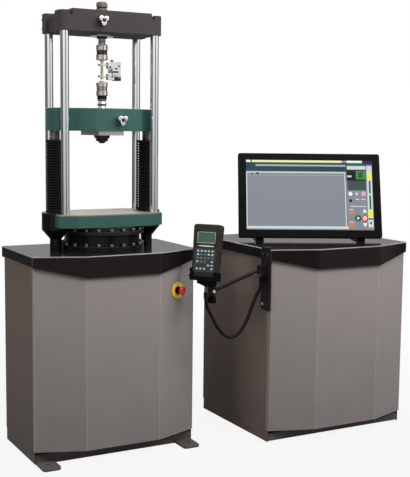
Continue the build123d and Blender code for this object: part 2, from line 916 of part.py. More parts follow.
# Positioning screws with guide towers, bellows and driven nuts
guide_towers = []
for side, word in ((-1, "left"), (1, "right")):
    x = side * screw_x
    save(rod(x, 0, screw_radius, screw_lower_end, seat_top), "screw_" + word)
    guide_low = tower_top - tower_guide_length
    wide_bore = screw_radius + tower_bore_ease
    close_bore = screw_radius + running_fit
    tower = turned(
        [
            (wide_bore, cover_underside),
            (tower_post_radius, cover_underside),
            (tower_post_radius, tower_cone_low),
            (tower_head_radius, tower_cone_high),
            (tower_head_radius, tower_top - tower_edge),
            (tower_head_radius - tower_edge, tower_top),
            (close_bore, tower_top),
            (close_bore, guide_low),
            (wide_bore, guide_low),
        ],
        x,
    )
    guide_towers.append(tower)
    fold = (bellows_height - 2 * bellows_cuff) / bellows_folds
    outline = [
        (bellows_bore_radius, tower_top),
        (bellows_radius, tower_top),
        (bellows_radius, tower_top + bellows_cuff),
    ]
    for step in range(bellows_folds):
        fold_low = tower_top + bellows_cuff + step * fold
        outline.append((bellows_root_radius, fold_low + fold / 2))
        outline.append((bellows_radius, fold_low + fold))
    outline.append((bellows_radius, bellows_top))
    outline.append((screw_radius + loose_fit, bellows_top))
    outline.append((screw_radius + loose_fit, bellows_top - bellows_cuff))
    outline.append((bellows_bore_radius, bellows_top - bellows_cuff))
    save(turned(outline, x), "bellows_" + word)
    nut = rod(x, 0, nut_radius, nut_top - nut_height, nut_top)
    nut += rod(x, 0, wheel_radius, wheel_top - wheel_height, wheel_top)
    save(nut - rod(x, 0, close_bore, nut_top - nut_height - past, nut_top + past), "drive_nut_" + word)

# Cross shaft with two worms behind the nuts, and its gear motor hung under the bed
shaft_half = screw_x + worm_length / 2
drive_shaft = Pos(0, shaft_y, shaft_z) * (Rot(0, 90, 0) * Cylinder(shaft_radius, 2 * shaft_half))
for side in (-1, 1):
    drive_shaft += Pos(side * screw_x, shaft_y, shaft_z) * (
        Rot(0, 90, 0) * Cylinder(worm_radius, worm_length)
    )
gearbox_low = bed_underside - gearbox_height
gearbox_back = shaft_y + gearbox_depth / 2
drive_motor = block(
    gearbox_x - gearbox_width / 2,
    gearbox_x + gearbox_width / 2,
    gearbox_back - gearbox_depth,
    gearbox_back,
    gearbox_low,
    bed_underside,
)
motor_plane = Plane(
    origin=(gearbox_x, gearbox_back, shaft_z - motor_drop), x_dir=(1, 0, 0), z_dir=(0, 1, 0)
)
drive_motor += motor_plane * extrude(Circle(motor_radius), amount=motor_length)
shaft_bore = Cylinder(shaft_radius + running_fit, gearbox_width + 2 * past)
drive_motor -= Pos(gearbox_x, shaft_y, shaft_z) * (Rot(0, 90, 0) * shaft_bore)

# Emergency stop on the right front facet
facet_length = math.hypot(frame_facet_run, frame_bow)
facet_way = (frame_facet_run / facet_length, frame_bow / facet_length, 0)
facet_out = (frame_bow / facet_length, -frame_facet_run / facet_length, 0)
stop_x = frame_width / 2 - frame_facet_run + stop_along
stop_y = -frame_front - frame_bow + stop_along * frame_bow / frame_facet_run
stop_spot = (stop_x - panel_inset * facet_out[0], stop_y - panel_inset * facet_out[1], stop_z)
stop_plane = Plane(origin=stop_spot, x_dir=facet_way, z_dir=facet_out)
stop_seat = stop_plate_height
stop_collar_top = stop_seat + stop_collar_height
stop_head_low = stop_collar_top + stop_travel_gap
stop_stem_low = stop_collar_top - stop_stem_below
estop_plate = stop_plane * turned(
    [
        (stop_body_radius + loose_fit, 0),
        (stop_plate_radius, 0),
        (stop_plate_radius, stop_plate_height),
        (stop_body_radius + loose_fit, stop_plate_height),
    ]
)
estop_body = stop_plane * turned(
    [
        (0, -stop_body_depth),
        (stop_body_radius, -stop_body_depth),
        (stop_body_radius, stop_seat),
        (stop_collar_radius, stop_seat),
        (stop_collar_radius - stop_collar_taper, stop_collar_top),
        (stop_stem_radius + running_fit, stop_collar_top),
        (stop_stem_radius + running_fit, stop_stem_low - stop_travel_gap),
        (0, stop_stem_low - stop_travel_gap),
    ]
)
estop_stem = stop_plane * (
    Pos(0, 0, stop_stem_low) * extrude(Circle(stop_stem_radius), stop_head_low - stop_stem_low)
)
dome = turned(
    [
        (0, stop_head_low),
        (stop_head_radius - stop_head_bevel, stop_head_low),
        (stop_head_radius, stop_head_low + stop_head_bevel),
        (stop_head_radius, stop_head_low + stop_head_height - stop_head_bevel),
        (stop_head_radius - stop_head_crown, stop_head_low + stop_head_height),
        (0, stop_head_low + stop_head_height),
    ]
)
estop_head = stop_plane * fillet(dome.edges().group_by(Axis.Z)[-2:], stop_head_round)
stop_hole = Pos(0, 0, -panel_sheet - past) * extrude(
    Circle(stop_body_radius + loose_fit), panel_sheet + 2 * past
)
frame_front_panel -= stop_plane * stop_hole

# Console cabinet on four pads, with the hydraulic power pack inside
console_cover, console_front_panel, console_left_panel, console_right_panel, console_rear = cabinet(
    console_middle, console_width, console_front, console_back, console_bow, console_facet_run, plinth_height
)
console_frame = plinth(console_middle, console_width, console_front, console_back, console_pad_height)
floor_half = console_width / 2 - plinth_inset - plinth_wall / 2
floor_front = -console_front + plinth_inset + plinth_wall / 2
floor_back = console_back - plinth_inset - plinth_wall / 2
floor_low = plinth_height - plinth_groove - console_floor_sheet
floor_high = floor_low + console_floor_sheet
console_frame += block(
    console_middle - floor_half, console_middle + floor_half, floor_front, floor_back, floor_low, floor_high
)
for side in (-1, 1):
    pad_x = console_middle + side * (console_width / 2 - console_pad_from_edge)
    for pad_y in (-console_front + console_pad_from_edge, console_back - console_pad_from_edge):
        console_frame += rod(pad_x, pad_y, console_pad_radius, 0, plinth_height - plinth_groove)
tank_y = (console_back - console_front) / 2
oil_tank = Pos(console_middle, tank_y, floor_high + tank_height / 2) * Box(
    tank_width, tank_depth, tank_height
)
oil_tank = fillet(oil_tank.edges().filter_by(Axis.Z), tank_round)
tank_inside = Pos(console_middle, tank_y, floor_high + tank_height / 2) * Box(
    tank_width - 2 * tank_wall, tank_depth - 2 * tank_wall, tank_height - 2 * tank_wall
)
oil_tank -= tank_inside
tank_top = floor_high + tank_height
power_pack = oil_tank + turned(
    [
        (0, tank_top),
        (pump_flange_radius, tank_top),
        (pump_flange_radius, tank_top + pump_flange_height),
        (pump_motor_radius, tank_top + pump_flange_height),
        (pump_motor_radius, tank_top + pump_motor_height - pump_crown),
        (pump_motor_radius - pump_crown, tank_top + pump_motor_height),
        (0, tank_top + pump_motor_height),
    ],
    console_middle,
    tank_y,
)

# Pendant bracket: a plate hooked over the console cover, with two clevis ears
bracket_back = -console_front + bracket_width
pendant_bracket = block(bracket_x, console_left, -console_front, bracket_back, bracket_low, cabinet_height)
pendant_bracket = fillet(pendant_bracket.edges().filter_by(Axis.X).group_by(Axis.Z)[0], bracket_corner)
hook_top = cabinet_height + bracket_thickness
pendant_bracket += block(
    bracket_x,
    console_left + hook_depth,
    -console_front + hook_setback,
    bracket_back,
    cabinet_height,
    hook_top,
)
eye_half = arm_eye_height / 2
for ear_low in (pivot_z + eye_half, pivot_z - eye_half - clevis_plate):
    ear = rod(pivot_x, -pivot_y, clevis_radius, ear_low, ear_low + clevis_plate)
    ear += block(
        pivot_x,
        bracket_x,
        -pivot_y - clevis_radius,
        -pivot_y + clevis_radius,
        ear_low,
        ear_low + clevis_plate,
    )
    pendant_bracket += ear
pin_low = pivot_z - eye_half - clevis_plate
pin_high = pivot_z + eye_half + clevis_plate
pendant_bracket += rod(
    pivot_x, -pivot_y, pivot_pin_radius, pin_low - pivot_pin_proud, pin_high + pivot_pin_proud
)

# Arm: an eye on the pivot pin, a sloping tube, an upright boss at the far end and a lug for the cord
arm_start = Vector(pivot_x, -pivot_y, pivot_z)
arm_end = Vector(arm_end_x, -pivot_y, arm_end_z)
arm_way = (arm_end - arm_start).normalized()
tube_length = (arm_end - arm_start).length
tube_plane = Plane(origin=arm_start, x_dir=(0, 1, 0), z_dir=arm_way)
arm = extrude(tube_plane * Circle(arm_neck_radius), amount=tube_length)
sleeve_plane = Plane(origin=arm_start + arm_way * arm_neck_length, x_dir=(0, 1, 0), z_dir=arm_way)
arm += extrude(sleeve_plane * Circle(arm_tube_radius), amount=tube_length - arm_neck_length)
arm &= block(
    arm_end_x - arm_eye_height,
    pivot_x + past,
    -pivot_y - arm_eye_height,
    -pivot_y + arm_eye_height,
    arm_end_z - arm_eye_height,
    pivot_z + eye_half,
)
arm += rod(pivot_x, -pivot_y, clevis_radius, pivot_z - eye_half, pivot_z + eye_half)
boss_low = arm_end_z - arm_boss_height / 2
boss_high = arm_end_z + arm_boss_height / 2
arm += rod(arm_end_x, -pivot_y, arm_boss_radius, boss_low, boss_high)
lug_x = arm_end_x - cord_lug_reach
lug_top = boss_low + cord_lug_height
lug_half = cord_gland_radius
arm += block(lug_x, arm_end_x, -pivot_y - lug_half, -pivot_y + lug_half, boss_low, lug_top)
arm += rod(lug_x, -pivot_y, cord_gland_radius, boss_low - cord_gland_length, lug_top)
arm -= rod(
    pivot_x,
    -pivot_y,
    pivot_pin_radius + loose_fit,
    pivot_z - eye_half - past,
    pivot_z + eye_half + past,
)
arm -= rod(arm_end_x, -pivot_y, stud_radius + loose_fit, boss_low - past, boss_high + past)

# Handset: tapered housing with window and keypad recesses, leaning back in its cradle
yaw = math.radians(handset_yaw)
handset_side = Vector(math.cos(yaw), math.sin(yaw), 0)
handset_face = Vector(math.sin(yaw), -math.cos(yaw), 0)
lean = math.radians(handset_lean)
handset_out = handset_face * math.cos(lean) + Vector(0, 0, 1) * math.sin(lean)
handset_foot = arm_end + Vector(0, 0, handset_lift + cradle_wall) - handset_side * handset_offset
handset_base = handset_foot + handset_out * (handset_depth / 2)
handset_plane = Plane(origin=handset_base, x_dir=handset_side, z_dir=handset_out)
outline = Polygon(
    (-handset_bottom_width / 2, 0),
    (handset_bottom_width / 2, 0),
    (handset_top_width / 2, handset_height),
    (-handset_top_width / 2, handset_height),
    align=None,
)
outline = fillet(outline.vertices(), handset_corner)
housing = extrude(Pos(0, 0, -handset_depth) * outline, amount=handset_depth)
housing = fillet(housing.edges().group_by(Axis.Z)[-1], handset_edge)
window_y = handset_height - window_from_top - window_height / 2
window_plan = RectangleRounded(window_width, window_height, window_corner)
window = Pos(0, window_y, -window_depth) * extrude(window_plan, window_depth)
keypad_y = keypad_from_bottom + keypad_height / 2
keypad_plan = RectangleRounded(keypad_width, keypad_height, keypad_corner)
keypad = Pos(0, keypad_y, -keypad_depth) * extrude(keypad_plan, keypad_depth)
handset = handset_plane * (housing - window - keypad)
handset_window = handset_plane * window
handset_keypad = handset_plane * keypad
tray_depth = handset_depth + 2 * cradle_wall
tray = Pos(0, cradle_height / 2 - cradle_wall, -handset_depth / 2) * Box(
    handset_bottom_width + 2 * cradle_wall, cradle_height, tray_depth
)
tray = fillet(tray.edges().filter_by(Axis.Z), cradle_corner)
lug_plan = Circle(cradle_lug_radius)
for lug_height in cradle_lug_heights:
    lug_left = -handset_bottom_width / 2 - cradle_lug_reach
    tray += Pos(lug_left, lug_height, -handset_depth) * extrude(lug_plan, cradle_lug_depth)
cradle_pocket = extrude(Pos(0, 0, -handset_depth) * outline, amount=handset_depth)
tray -= cradle_pocket
lip_cut = Box(keypad_width, cradle_height, cradle_wall + past)
tray -= Pos(0, cradle_lip + cradle_height / 2, (cradle_wall + past) / 2) * lip_cut
handset_cradle = handset_plane * tray
cradle_stem = rod(
    arm_end_x, -pivot_y, cradle_stem_radius, boss_high, arm_end_z + handset_lift + cradle_wall
)
web_plane = Plane(
    origin=(arm_end_x, -pivot_y, boss_high), x_dir=handset_side, z_dir=handset_face
)
web_top = handset_lift + cradle_wall + arm_end_z - boss_high
web = make_face(
    Polyline(
        (-web_foot, web_gap),
        (cradle_stem_radius, web_gap),
        (web_right, web_top - web_edge),
        (web_right, web_top),
        (-web_left, web_top),
        (-web_left, web_top - web_edge),
        close=True,
    )
)
web = web_plane * extrude(web, amount=web_thickness / 2, both=True)
handset_cradle += (cradle_stem + web) - handset_plane * cradle_pocket
stud_low = boss_low - clamp_collar_height - clamp_height
handset_cradle += rod(arm_end_x, -pivot_y, stud_radius, stud_low, arm_end_z + handset_lift)

# Fluted clamp knob on the stud under the arm end, which locks the swivel
clamp_top = boss_low - clamp_collar_height
pendant_knob = rod(arm_end_x, -pivot_y, clamp_radius, stud_low, clamp_top)
for step in range(clamp_flutes):
    around = math.radians(360 * step / clamp_flutes)
    flute_x = arm_end_x + clamp_radius * math.cos(around)
    flute_y = -pivot_y + clamp_radius * math.sin(around)
    pendant_knob -= rod(flute_x, flute_y, clamp_flute_radius, stud_low - past, clamp_top + past)
pendant_knob += rod(arm_end_x, -pivot_y, clamp_collar_radius, stud_low, boss_low)
pendant_knob -= rod(arm_end_x, -pivot_y, stud_radius + loose_fit, stud_low - past, boss_low + past)

# Cord: from a gland beside the arm end, in a hanging loop, to a gland on the bracket
gland_x = bracket_x - bracket_gland_reach
bracket_gland_y = bracket_gland_shift - pivot_y
bracket_gland_z = cabinet_height - bracket_gland_drop
pendant_bracket += block(
    gland_x,
    bracket_x,
    bracket_gland_y - cord_gland_radius,
    bracket_gland_y + cord_gland_radius,
    bracket_gland_z,
    bracket_gland_z + cord_lug_height,
)
gland_low = bracket_gland_z - cord_gland_length
pendant_bracket += rod(
    gland_x, bracket_gland_y, cord_gland_radius, gland_low, bracket_gland_z + cord_lug_height
)
cord_start = (lug_x, -pivot_y, boss_low - cord_gland_length)
cord_finish = (gland_x, bracket_gland_y, gland_low)
cord_drop = (lug_x, -pivot_y, pivot_z - cord_start_drop)
cord_rise = (gland_x, bracket_gland_y, pivot_z - cord_finish_drop)
loop = [(pivot_x + x, y - pivot_y, pivot_z + z) for x, y, z in cord_loop]
cord_points = [cord_start, cord_drop, *loop, cord_rise, cord_finish]
cord_turns = []
for before, here, after in zip(cord_points, cord_points[1:], cord_points[2:]):
    run_in = Vector(*here) - Vector(*before)
    run_out = Vector(*after) - Vector(*here)
    turn = math.radians(run_in.get_angle(run_out))
    shorter = min(run_in.length, run_out.length)
    cord_turns.append(cord_bend * shorter / math.tan(turn / 2))
print("cord radii", [round(r, 1) for r in cord_turns])
cord_path = FilletPolyline(*cord_points, radius=cord_turns)
cord_plane = Plane(origin=cord_path @ 0, z_dir=cord_path % 0)
cord = sweep(cord_plane * Circle(cord_radius), path=cord_path)

# Display: flat housing with a shallow rear bulge, hinged on two foot bars
turn = math.radians(display_yaw)
display_side = Vector(math.cos(turn), math.sin(turn), 0)
display_front = Vector(math.sin(turn), -math.cos(turn), 0)
back_lean = math.radians(display_lean)
display_out = display_front * math.cos(back_lean) + Vector(0, 0, 1) * math.sin(back_lean)
display_spot = (
    console_middle - display_off_middle,
    display_setback - console_front,
    cabinet_height + display_edge_up,
)
display_plane = Plane(origin=display_spot, x_dir=display_side, z_dir=display_out)
face = Pos(0, display_height / 2) * RectangleRounded(display_width, display_height, display_corner)
shell = extrude(Pos(0, 0, -display_edge_depth) * face, amount=display_edge_depth)
shell = fillet(shell.edges().group_by(Axis.Z)[-1], display_edge_round)
bulge_low = Pos(0, display_height / 2, -display_edge_depth) * Rectangle(
    display_width - 2 * display_bulge_inset, display_height - 2 * display_bulge_inset
)
bulge_high = Pos(0, display_height / 2, -display_edge_depth - display_bulge_depth) * Rectangle(
    display_width - 4 * display_bulge_inset, display_height - 3 * display_bulge_inset
)
shell += loft([bulge_low, bulge_high])
screen = Pos(0, screen_from_bottom + screen_height / 2, -screen_depth) * extrude(
    Rectangle(screen_width, screen_height), screen_depth
)
shell -= screen
axle_depth = -hinge_wall - foot_slot_ease - knuckle_radius
slot_half = foot_width / 2 + foot_slot_ease
slot_depth = display_edge_depth - hinge_wall + past
slot_height = knuckle_up + knuckle_radius + foot_slot_ease
axle = Plane(origin=(0, knuckle_up, axle_depth), x_dir=(0, 1, 0), z_dir=(1, 0, 0))
for side in (-1, 1):
    shell -= Pos(side * foot_x, slot_height / 2 - past, -hinge_wall - slot_depth / 2) * Box(
        2 * slot_half, slot_height + 2 * past, slot_depth
    )
    pin_hole = Cylinder(hinge_pin_radius + loose_fit, 2 * (slot_half + hinge_pin_reach + past))
    shell -= Pos(side * foot_x, 0, 0) * (axle * pin_hole)
display = display_plane * shell
display_screen = display_plane * screen
axle_point = display_plane * Pos(0, knuckle_up, axle_depth)
axle_place = axle_point.position
foot_plane = Plane(origin=axle_place, x_dir=display_side, z_dir=(0, 0, 1))
foot_drop = axle_place.Z - cabinet_height
display_feet = []
for side in (-1, 1):
    knuckle = Rot(0, 90, 0) * Cylinder(knuckle_radius, foot_width)
    pin = Rot(0, 90, 0) * Cylinder(hinge_pin_radius, 2 * (slot_half + hinge_pin_reach))
    post = Pos(0, 0, -foot_drop / 2) * Box(foot_width, foot_stem_depth, foot_drop)
    bar = Pos(0, foot_bar_length / 2 - foot_bar_front, foot_bar_height / 2 - foot_drop) * Box(
        foot_width, foot_bar_length, foot_bar_height
    )
    bar = fillet(bar.edges().filter_by(Axis.Z), foot_bar_corner)
    foot = Pos(side * foot_x, 0, 0) * (knuckle + pin + post + bar)
    display_feet.append(foot_plane * foot)

nodes = {
    "base_frame": base_frame,
    "frame_side_left": frame_left,
    "frame_side_right": frame_right,
    "frame_rear_panel": frame_rear,
    "frame_front_panel": frame_front_panel,
    "frame_cover": frame_cover,
    "cylinder_head": cylinder_head,
    "cylinder_barrel": cylinder_barrel,
    "ram": ram,
    "drive_shaft": drive_shaft,
    "drive_motor": drive_motor,
    "table": table,
    "table_plate": table_plate,
    "top_crosshead": top_crosshead,
    "upper_rod": upper_rod,
    "upper_nut": upper_nut,
    "upper_flange": upper_flange,
    "upper_holder": upper_holder,
    "specimen": specimen,
    "extensometer": extensometer,
    "upper_knob": upper_knob,
    "crosshead": crosshead,
    "retainer_plate": retainer_plate,
    "lower_rod": lower_rod,
    "lower_nut": lower_nut,
    "lower_holder": lower_holder,
    "lower_knob": lower_knob,
    "estop_plate": estop_plate,
    "estop_body": estop_body,
    "estop_stem": estop_stem,
    "estop_head": estop_head,
    "console_frame": console_frame,
    "console_side_left": console_left_panel,
    "console_side_right": console_right_panel,
    "console_rear_panel": console_rear,
    "console_front_panel": console_front_panel,
    "console_cover": console_cover,
    "power_pack": power_pack,
    "pendant_bracket": pendant_bracket,
    "pendant_arm": arm,
    "handset_cradle": handset_cradle,
    "handset": handset,
    "handset_window": handset_window,
    "handset_keypad": handset_keypad,
    "pendant_knob": pendant_knob,
    "cord": cord,
    "display": display,
    "display_screen": display_screen,
    "display_feet": Compound(display_feet),
    "guide_towers": Compound(guide_towers),
}
for name, shape in nodes.items():
    save(shape, name)
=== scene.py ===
import bmesh
import bpy
import json
import math
from mathutils import Matrix, Vector


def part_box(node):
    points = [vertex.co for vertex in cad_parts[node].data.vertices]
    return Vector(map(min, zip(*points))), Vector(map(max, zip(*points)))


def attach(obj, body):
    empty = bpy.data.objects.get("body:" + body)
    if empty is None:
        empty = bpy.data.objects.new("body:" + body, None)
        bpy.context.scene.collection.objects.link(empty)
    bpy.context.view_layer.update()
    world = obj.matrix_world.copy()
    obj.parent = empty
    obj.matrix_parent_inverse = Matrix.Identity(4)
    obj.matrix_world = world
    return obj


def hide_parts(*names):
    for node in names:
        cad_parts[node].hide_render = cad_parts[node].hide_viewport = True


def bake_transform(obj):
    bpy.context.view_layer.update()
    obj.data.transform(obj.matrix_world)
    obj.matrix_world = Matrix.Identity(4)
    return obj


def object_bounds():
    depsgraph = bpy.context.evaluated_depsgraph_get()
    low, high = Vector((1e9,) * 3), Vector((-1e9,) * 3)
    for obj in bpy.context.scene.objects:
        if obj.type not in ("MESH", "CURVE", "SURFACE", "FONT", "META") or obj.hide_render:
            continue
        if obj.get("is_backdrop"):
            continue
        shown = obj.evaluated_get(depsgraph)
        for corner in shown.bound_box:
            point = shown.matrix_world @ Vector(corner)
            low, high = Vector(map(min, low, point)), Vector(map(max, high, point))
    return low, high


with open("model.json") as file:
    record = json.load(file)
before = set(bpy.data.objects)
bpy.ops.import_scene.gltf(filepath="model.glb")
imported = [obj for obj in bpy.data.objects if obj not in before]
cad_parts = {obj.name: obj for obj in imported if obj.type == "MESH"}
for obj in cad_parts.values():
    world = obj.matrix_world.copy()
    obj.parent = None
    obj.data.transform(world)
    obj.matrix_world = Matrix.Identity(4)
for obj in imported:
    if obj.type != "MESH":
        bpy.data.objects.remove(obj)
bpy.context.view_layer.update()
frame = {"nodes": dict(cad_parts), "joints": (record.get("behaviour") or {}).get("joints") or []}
nodes = frame["nodes"]

# Studio: a pale floor that runs into a white room, with soft lamps on the right, above, on the left and
# behind. Polished surfaces also see a ring of bright and dark cards that light nothing else.
# The camera stands left of the load frame at chest height and looks slightly down.
IMAGE_LONG_SIDE = 477.0
FOCAL_PIXELS = 967.16
SENSOR = 36.0
FAR_LIMIT = 200.0
CAMERA_SPOT = Vector((-1.6862, -4.0513, 1.4462))
YAW = math.radians(28.707)
PITCH = math.radians(6.386)
ROLL = math.radians(0.611)
scene = bpy.context.scene
scene.view_settings.view_transform = "Standard"


def add(name, data):
    """Puts a new object into the scene."""
    made = bpy.data.objects.new(name, data)
    scene.collection.objects.link(made)
    return made


def axes(side, rise, out, spot):
    """A place in the room, from the way its three axes point and its origin."""
    rows = [(side[i], rise[i], out[i], spot[i]) for i in range(3)]
    return Matrix((*rows, (0, 0, 0, 1)))


camera_data = bpy.data.cameras.new("camera")
camera_data.sensor_width = SENSOR
camera_data.lens = FOCAL_PIXELS / IMAGE_LONG_SIDE * SENSOR
camera_data.clip_end = FAR_LIMIT
camera = add("camera", camera_data)
ahead = Vector((math.sin(YAW) * math.cos(PITCH), math.cos(YAW) * math.cos(PITCH), -math.sin(PITCH)))
level = Vector((math.cos(YAW), -math.sin(YAW), 0.0))
upward = level.cross(ahead)
across = level * math.cos(ROLL) + upward * math.sin(ROLL)
above = upward * math.cos(ROLL) - level * math.sin(ROLL)
camera.matrix_world = axes(across, above, -ahead, CAMERA_SPOT)
scene.camera = camera


def lamp(name, spot, target, width, height, power):
    """One soft box, aimed at a point. Lengths are in metres and the power in watts."""
    data = bpy.data.lights.new(name, "AREA")
    data.shape = "RECTANGLE"
    data.size = width
    data.size_y = height
    data.energy = power
    made = add(name, data)
    made.location = spot
    made.rotation_euler = (Vector(target) - Vector(spot)).to_track_quat("-Z", "Y").to_euler()


lamp("key_lamp", (3.5, -3.2, 3.3), (0.4, 0.0, 1.0), 2.4, 2.0, 142.0)
lamp("top_lamp", (0.7, -1.9, 3.6), (0.4, -0.3, 0.9), 2.4, 1.6, 82.0)
lamp("fill_lamp", (-2.9, -0.9, 3.0), (0.5, 0.0, 0.8), 1.6, 1.4, 56.0)
lamp("back_lamp", (0.5, 4.5, 3.5), (0.5, 0.0, 1.0), 3.0, 2.0, 130.0)


class Tone:
    """A value on its way through a finish. Plain arithmetic on it adds the nodes that work it out."""

    def __init__(self, finish, socket):
        self.finish = finish
        self.socket = socket

    def sum(self, operation, first, second):
        return self.finish.node("Math", {"operation": operation}, {0: first, 1: second})

    def __add__(self, other):
        return self.sum("ADD", self, other)

    __radd__ = __add__

    def __mul__(self, other):
        return self.sum("MULTIPLY", self, other)

    __rmul__ = __mul__

    def __gt__(self, other):
        return self.sum("GREATER_THAN", self, other)

    def __lt__(self, other):
        return self.sum("LESS_THAN", self, other)


BEVEL_SAMPLES = 6


class Finish:
    """A surface finish: one shader and the nodes that feed it."""

    def __init__(self, name, tree=None, **constants):
        if tree is None:
            self.material = bpy.data.materials.new(name)
            self.material.use_nodes = True
            tree = self.material.node_tree
        self.tree = tree
        self.shader = tree.nodes.get("Principled BSDF")
        for socket, value in constants.items():
            self.shader.inputs[socket.replace("_", " ")].default_value = value

    def node(self, kind, settings=None, inputs=None, output=0):
        """Adds one node: its settings first, then the values and links of its sockets."""
        made = self.tree.nodes.new("ShaderNode" + kind)
        for name, value in (settings or {}).items():
            setattr(made, name, value)
        for name, value in (inputs or {}).items():
            self.feed(made.inputs[name], value)
        return Tone(self, made.outputs[output])

    def feed(self, socket, value):
        """Sets a socket, or links it when the value comes from a node."""
        if isinstance(value, Tone):
            self.tree.links.new(value.socket, socket)
        else:
            socket.default_value = value

    def seen(self):
        """1 where the camera, a mirror or clear glass looks, and 0 for light that goes elsewhere."""
        rays = ("Is Camera Ray", "Is Glossy Ray", "Is Transmission Ray")
        camera_ray, mirror_ray, clear_ray = [self.node("LightPath", output=ray) for ray in rays]
        return camera_ray + mirror_ray + clear_ray > 0.5

    def spot(self):
        """The place on the object, in metres."""
        return self.node("TexCoord", output="Object")

    def noise(self, scale, detail=2.0, stretch=(1.0, 1.0, 1.0)):
        """Cloudy variation from 0 to 1, stretched along an axis if asked."""
        place = self.node("Mapping", {}, {"Vector": self.spot(), "Scale": stretch})
        return self.node("TexNoise", {}, {"Vector": place, "Scale": scale, "Detail": detail}, "Fac")

    def mix(self, share, first, second):
        """One colour running into another."""
        return self.node("Mix", {"data_type": "RGBA"}, {0: share, 6: first, 7: second}, 2)

    def height(self):
        """Height above the floor, in metres."""
        return self.node("SeparateXYZ", {}, {0: self.spot()}, 2)

    def band(self, value, low, high):
        """A ramp from 0 at the low value to 1 at the high one."""
        return self.node("MapRange", {}, {"Value": value, "From Min": low, "From Max": high})

    def rounded(self, radius):
        """The way the surface faces once its edges are rounded off."""
        return self.node("Bevel", {"samples": BEVEL_SAMPLES}, {"Radius": radius})

    def edge(self, radius, slight=0.995, full=0.80):
        """1 along edges and 0 on the flats. The limits say how far the faces lean apart there."""
        flat = self.node("NewGeometry", output="Normal")
        both = {0: self.rounded(radius), 1: flat}
        along = self.node("VectorMath", {"operation": "DOT_PRODUCT"}, both, "Value")
        return self.band(along, slight, full)

    def surface(self, colour=None, roughness=None, relief=None, depth=0.0003, strength=0.3, soft=0.0):
        """Feeds the shader with what varies over the surface. Edges are softened by a small radius."""
        if colour is not None:
            self.feed(self.shader.inputs["Base Color"], colour)
        if roughness is not None:
            self.feed(self.shader.inputs["Roughness"], roughness)
        bump = {"Strength": strength, "Distance": depth}
        if soft:
            bump["Normal"] = self.rounded(soft)
        if relief is not None:
            bump["Height"] = relief
        if relief is not None or soft:
            self.feed(self.shader.inputs["Normal"], self.node("Bump", {}, bump))

    def overlay(self, share, tint):
        """Lays another colour over part of the surface."""
        socket = self.shader.inputs["Base Color"]
        below = Tone(self, socket.links[0].from_socket)
        self.feed(socket, self.mix(share, below, tint))


def ink(red, green, blue):
    """A colour given as it looks on a screen, 0 to 255, turned into light."""
    light = [((c / 255 + 0.055) / 1.055) ** 2.4 if c > 10 else c / 255 / 12.92 for c in (red, green, blue)]
    return (*light, 1.0)


def grey(light):
    """A colour without hue."""
    return (light, light, light, 1.0)


ROOM_LIGHT = 0.26
world = bpy.data.worlds.new("white_room")
world.use_nodes = True
scene.world = world
room = Finish("white_room", world.node_tree)
background = world.node_tree.nodes["Background"]
background.inputs["Color"].default_value = grey(1.0)
room.feed(background.inputs["Strength"], ROOM_LIGHT + (1.0 - ROOM_LIGHT) * room.seen())

FLOOR_REACH = 30.0
FLOOR_LEVEL = -0.0005
FLOOR_WHITENESS = 0.90
SHADOW_REACH = (1.3, 4.0)
CORNERS = ((-1, -1), (1, -1), (1, 1), (-1, 1))
floor_mesh = bpy.data.meshes.new("floor")
floor_corners = [(x * FLOOR_REACH, y * FLOOR_REACH, FLOOR_LEVEL) for x, y in CORNERS]
floor_mesh.from_pydata(floor_corners, [], [(0, 1, 2, 3)])
floor = add("floor", floor_mesh)
floor_finish = Finish("pale_floor", Roughness=0.7)
floor_finish.surface(floor_finish.mix(floor_finish.noise(1.5), grey(0.18), grey(0.22)))
glow = floor_finish.node("Emission")
coat = Tone(floor_finish, floor_finish.shader.outputs[0])
away = floor_finish.node("VectorMath", {"operation": "LENGTH"}, {0: floor_finish.spot()}, "Value")
whiteness = FLOOR_WHITENESS + (1.0 - FLOOR_WHITENESS) * floor_finish.band(away, *SHADOW_REACH)
whitened = floor_finish.node("MixShader", {}, {0: floor_finish.seen() * whiteness, 1: coat, 2: glow})
floor_finish.feed(floor_finish.tree.nodes["Material Output"].inputs[0], whitened)
floor_mesh.materials.append(floor_finish.material)
floor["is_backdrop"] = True

CARD_REACH = 4.0
CARD_HEIGHT = 3.0
CARD_STEP = 5
CARD_FADE = (0.6, 2.2)
CARD_FOOT_LIGHT = 0.4
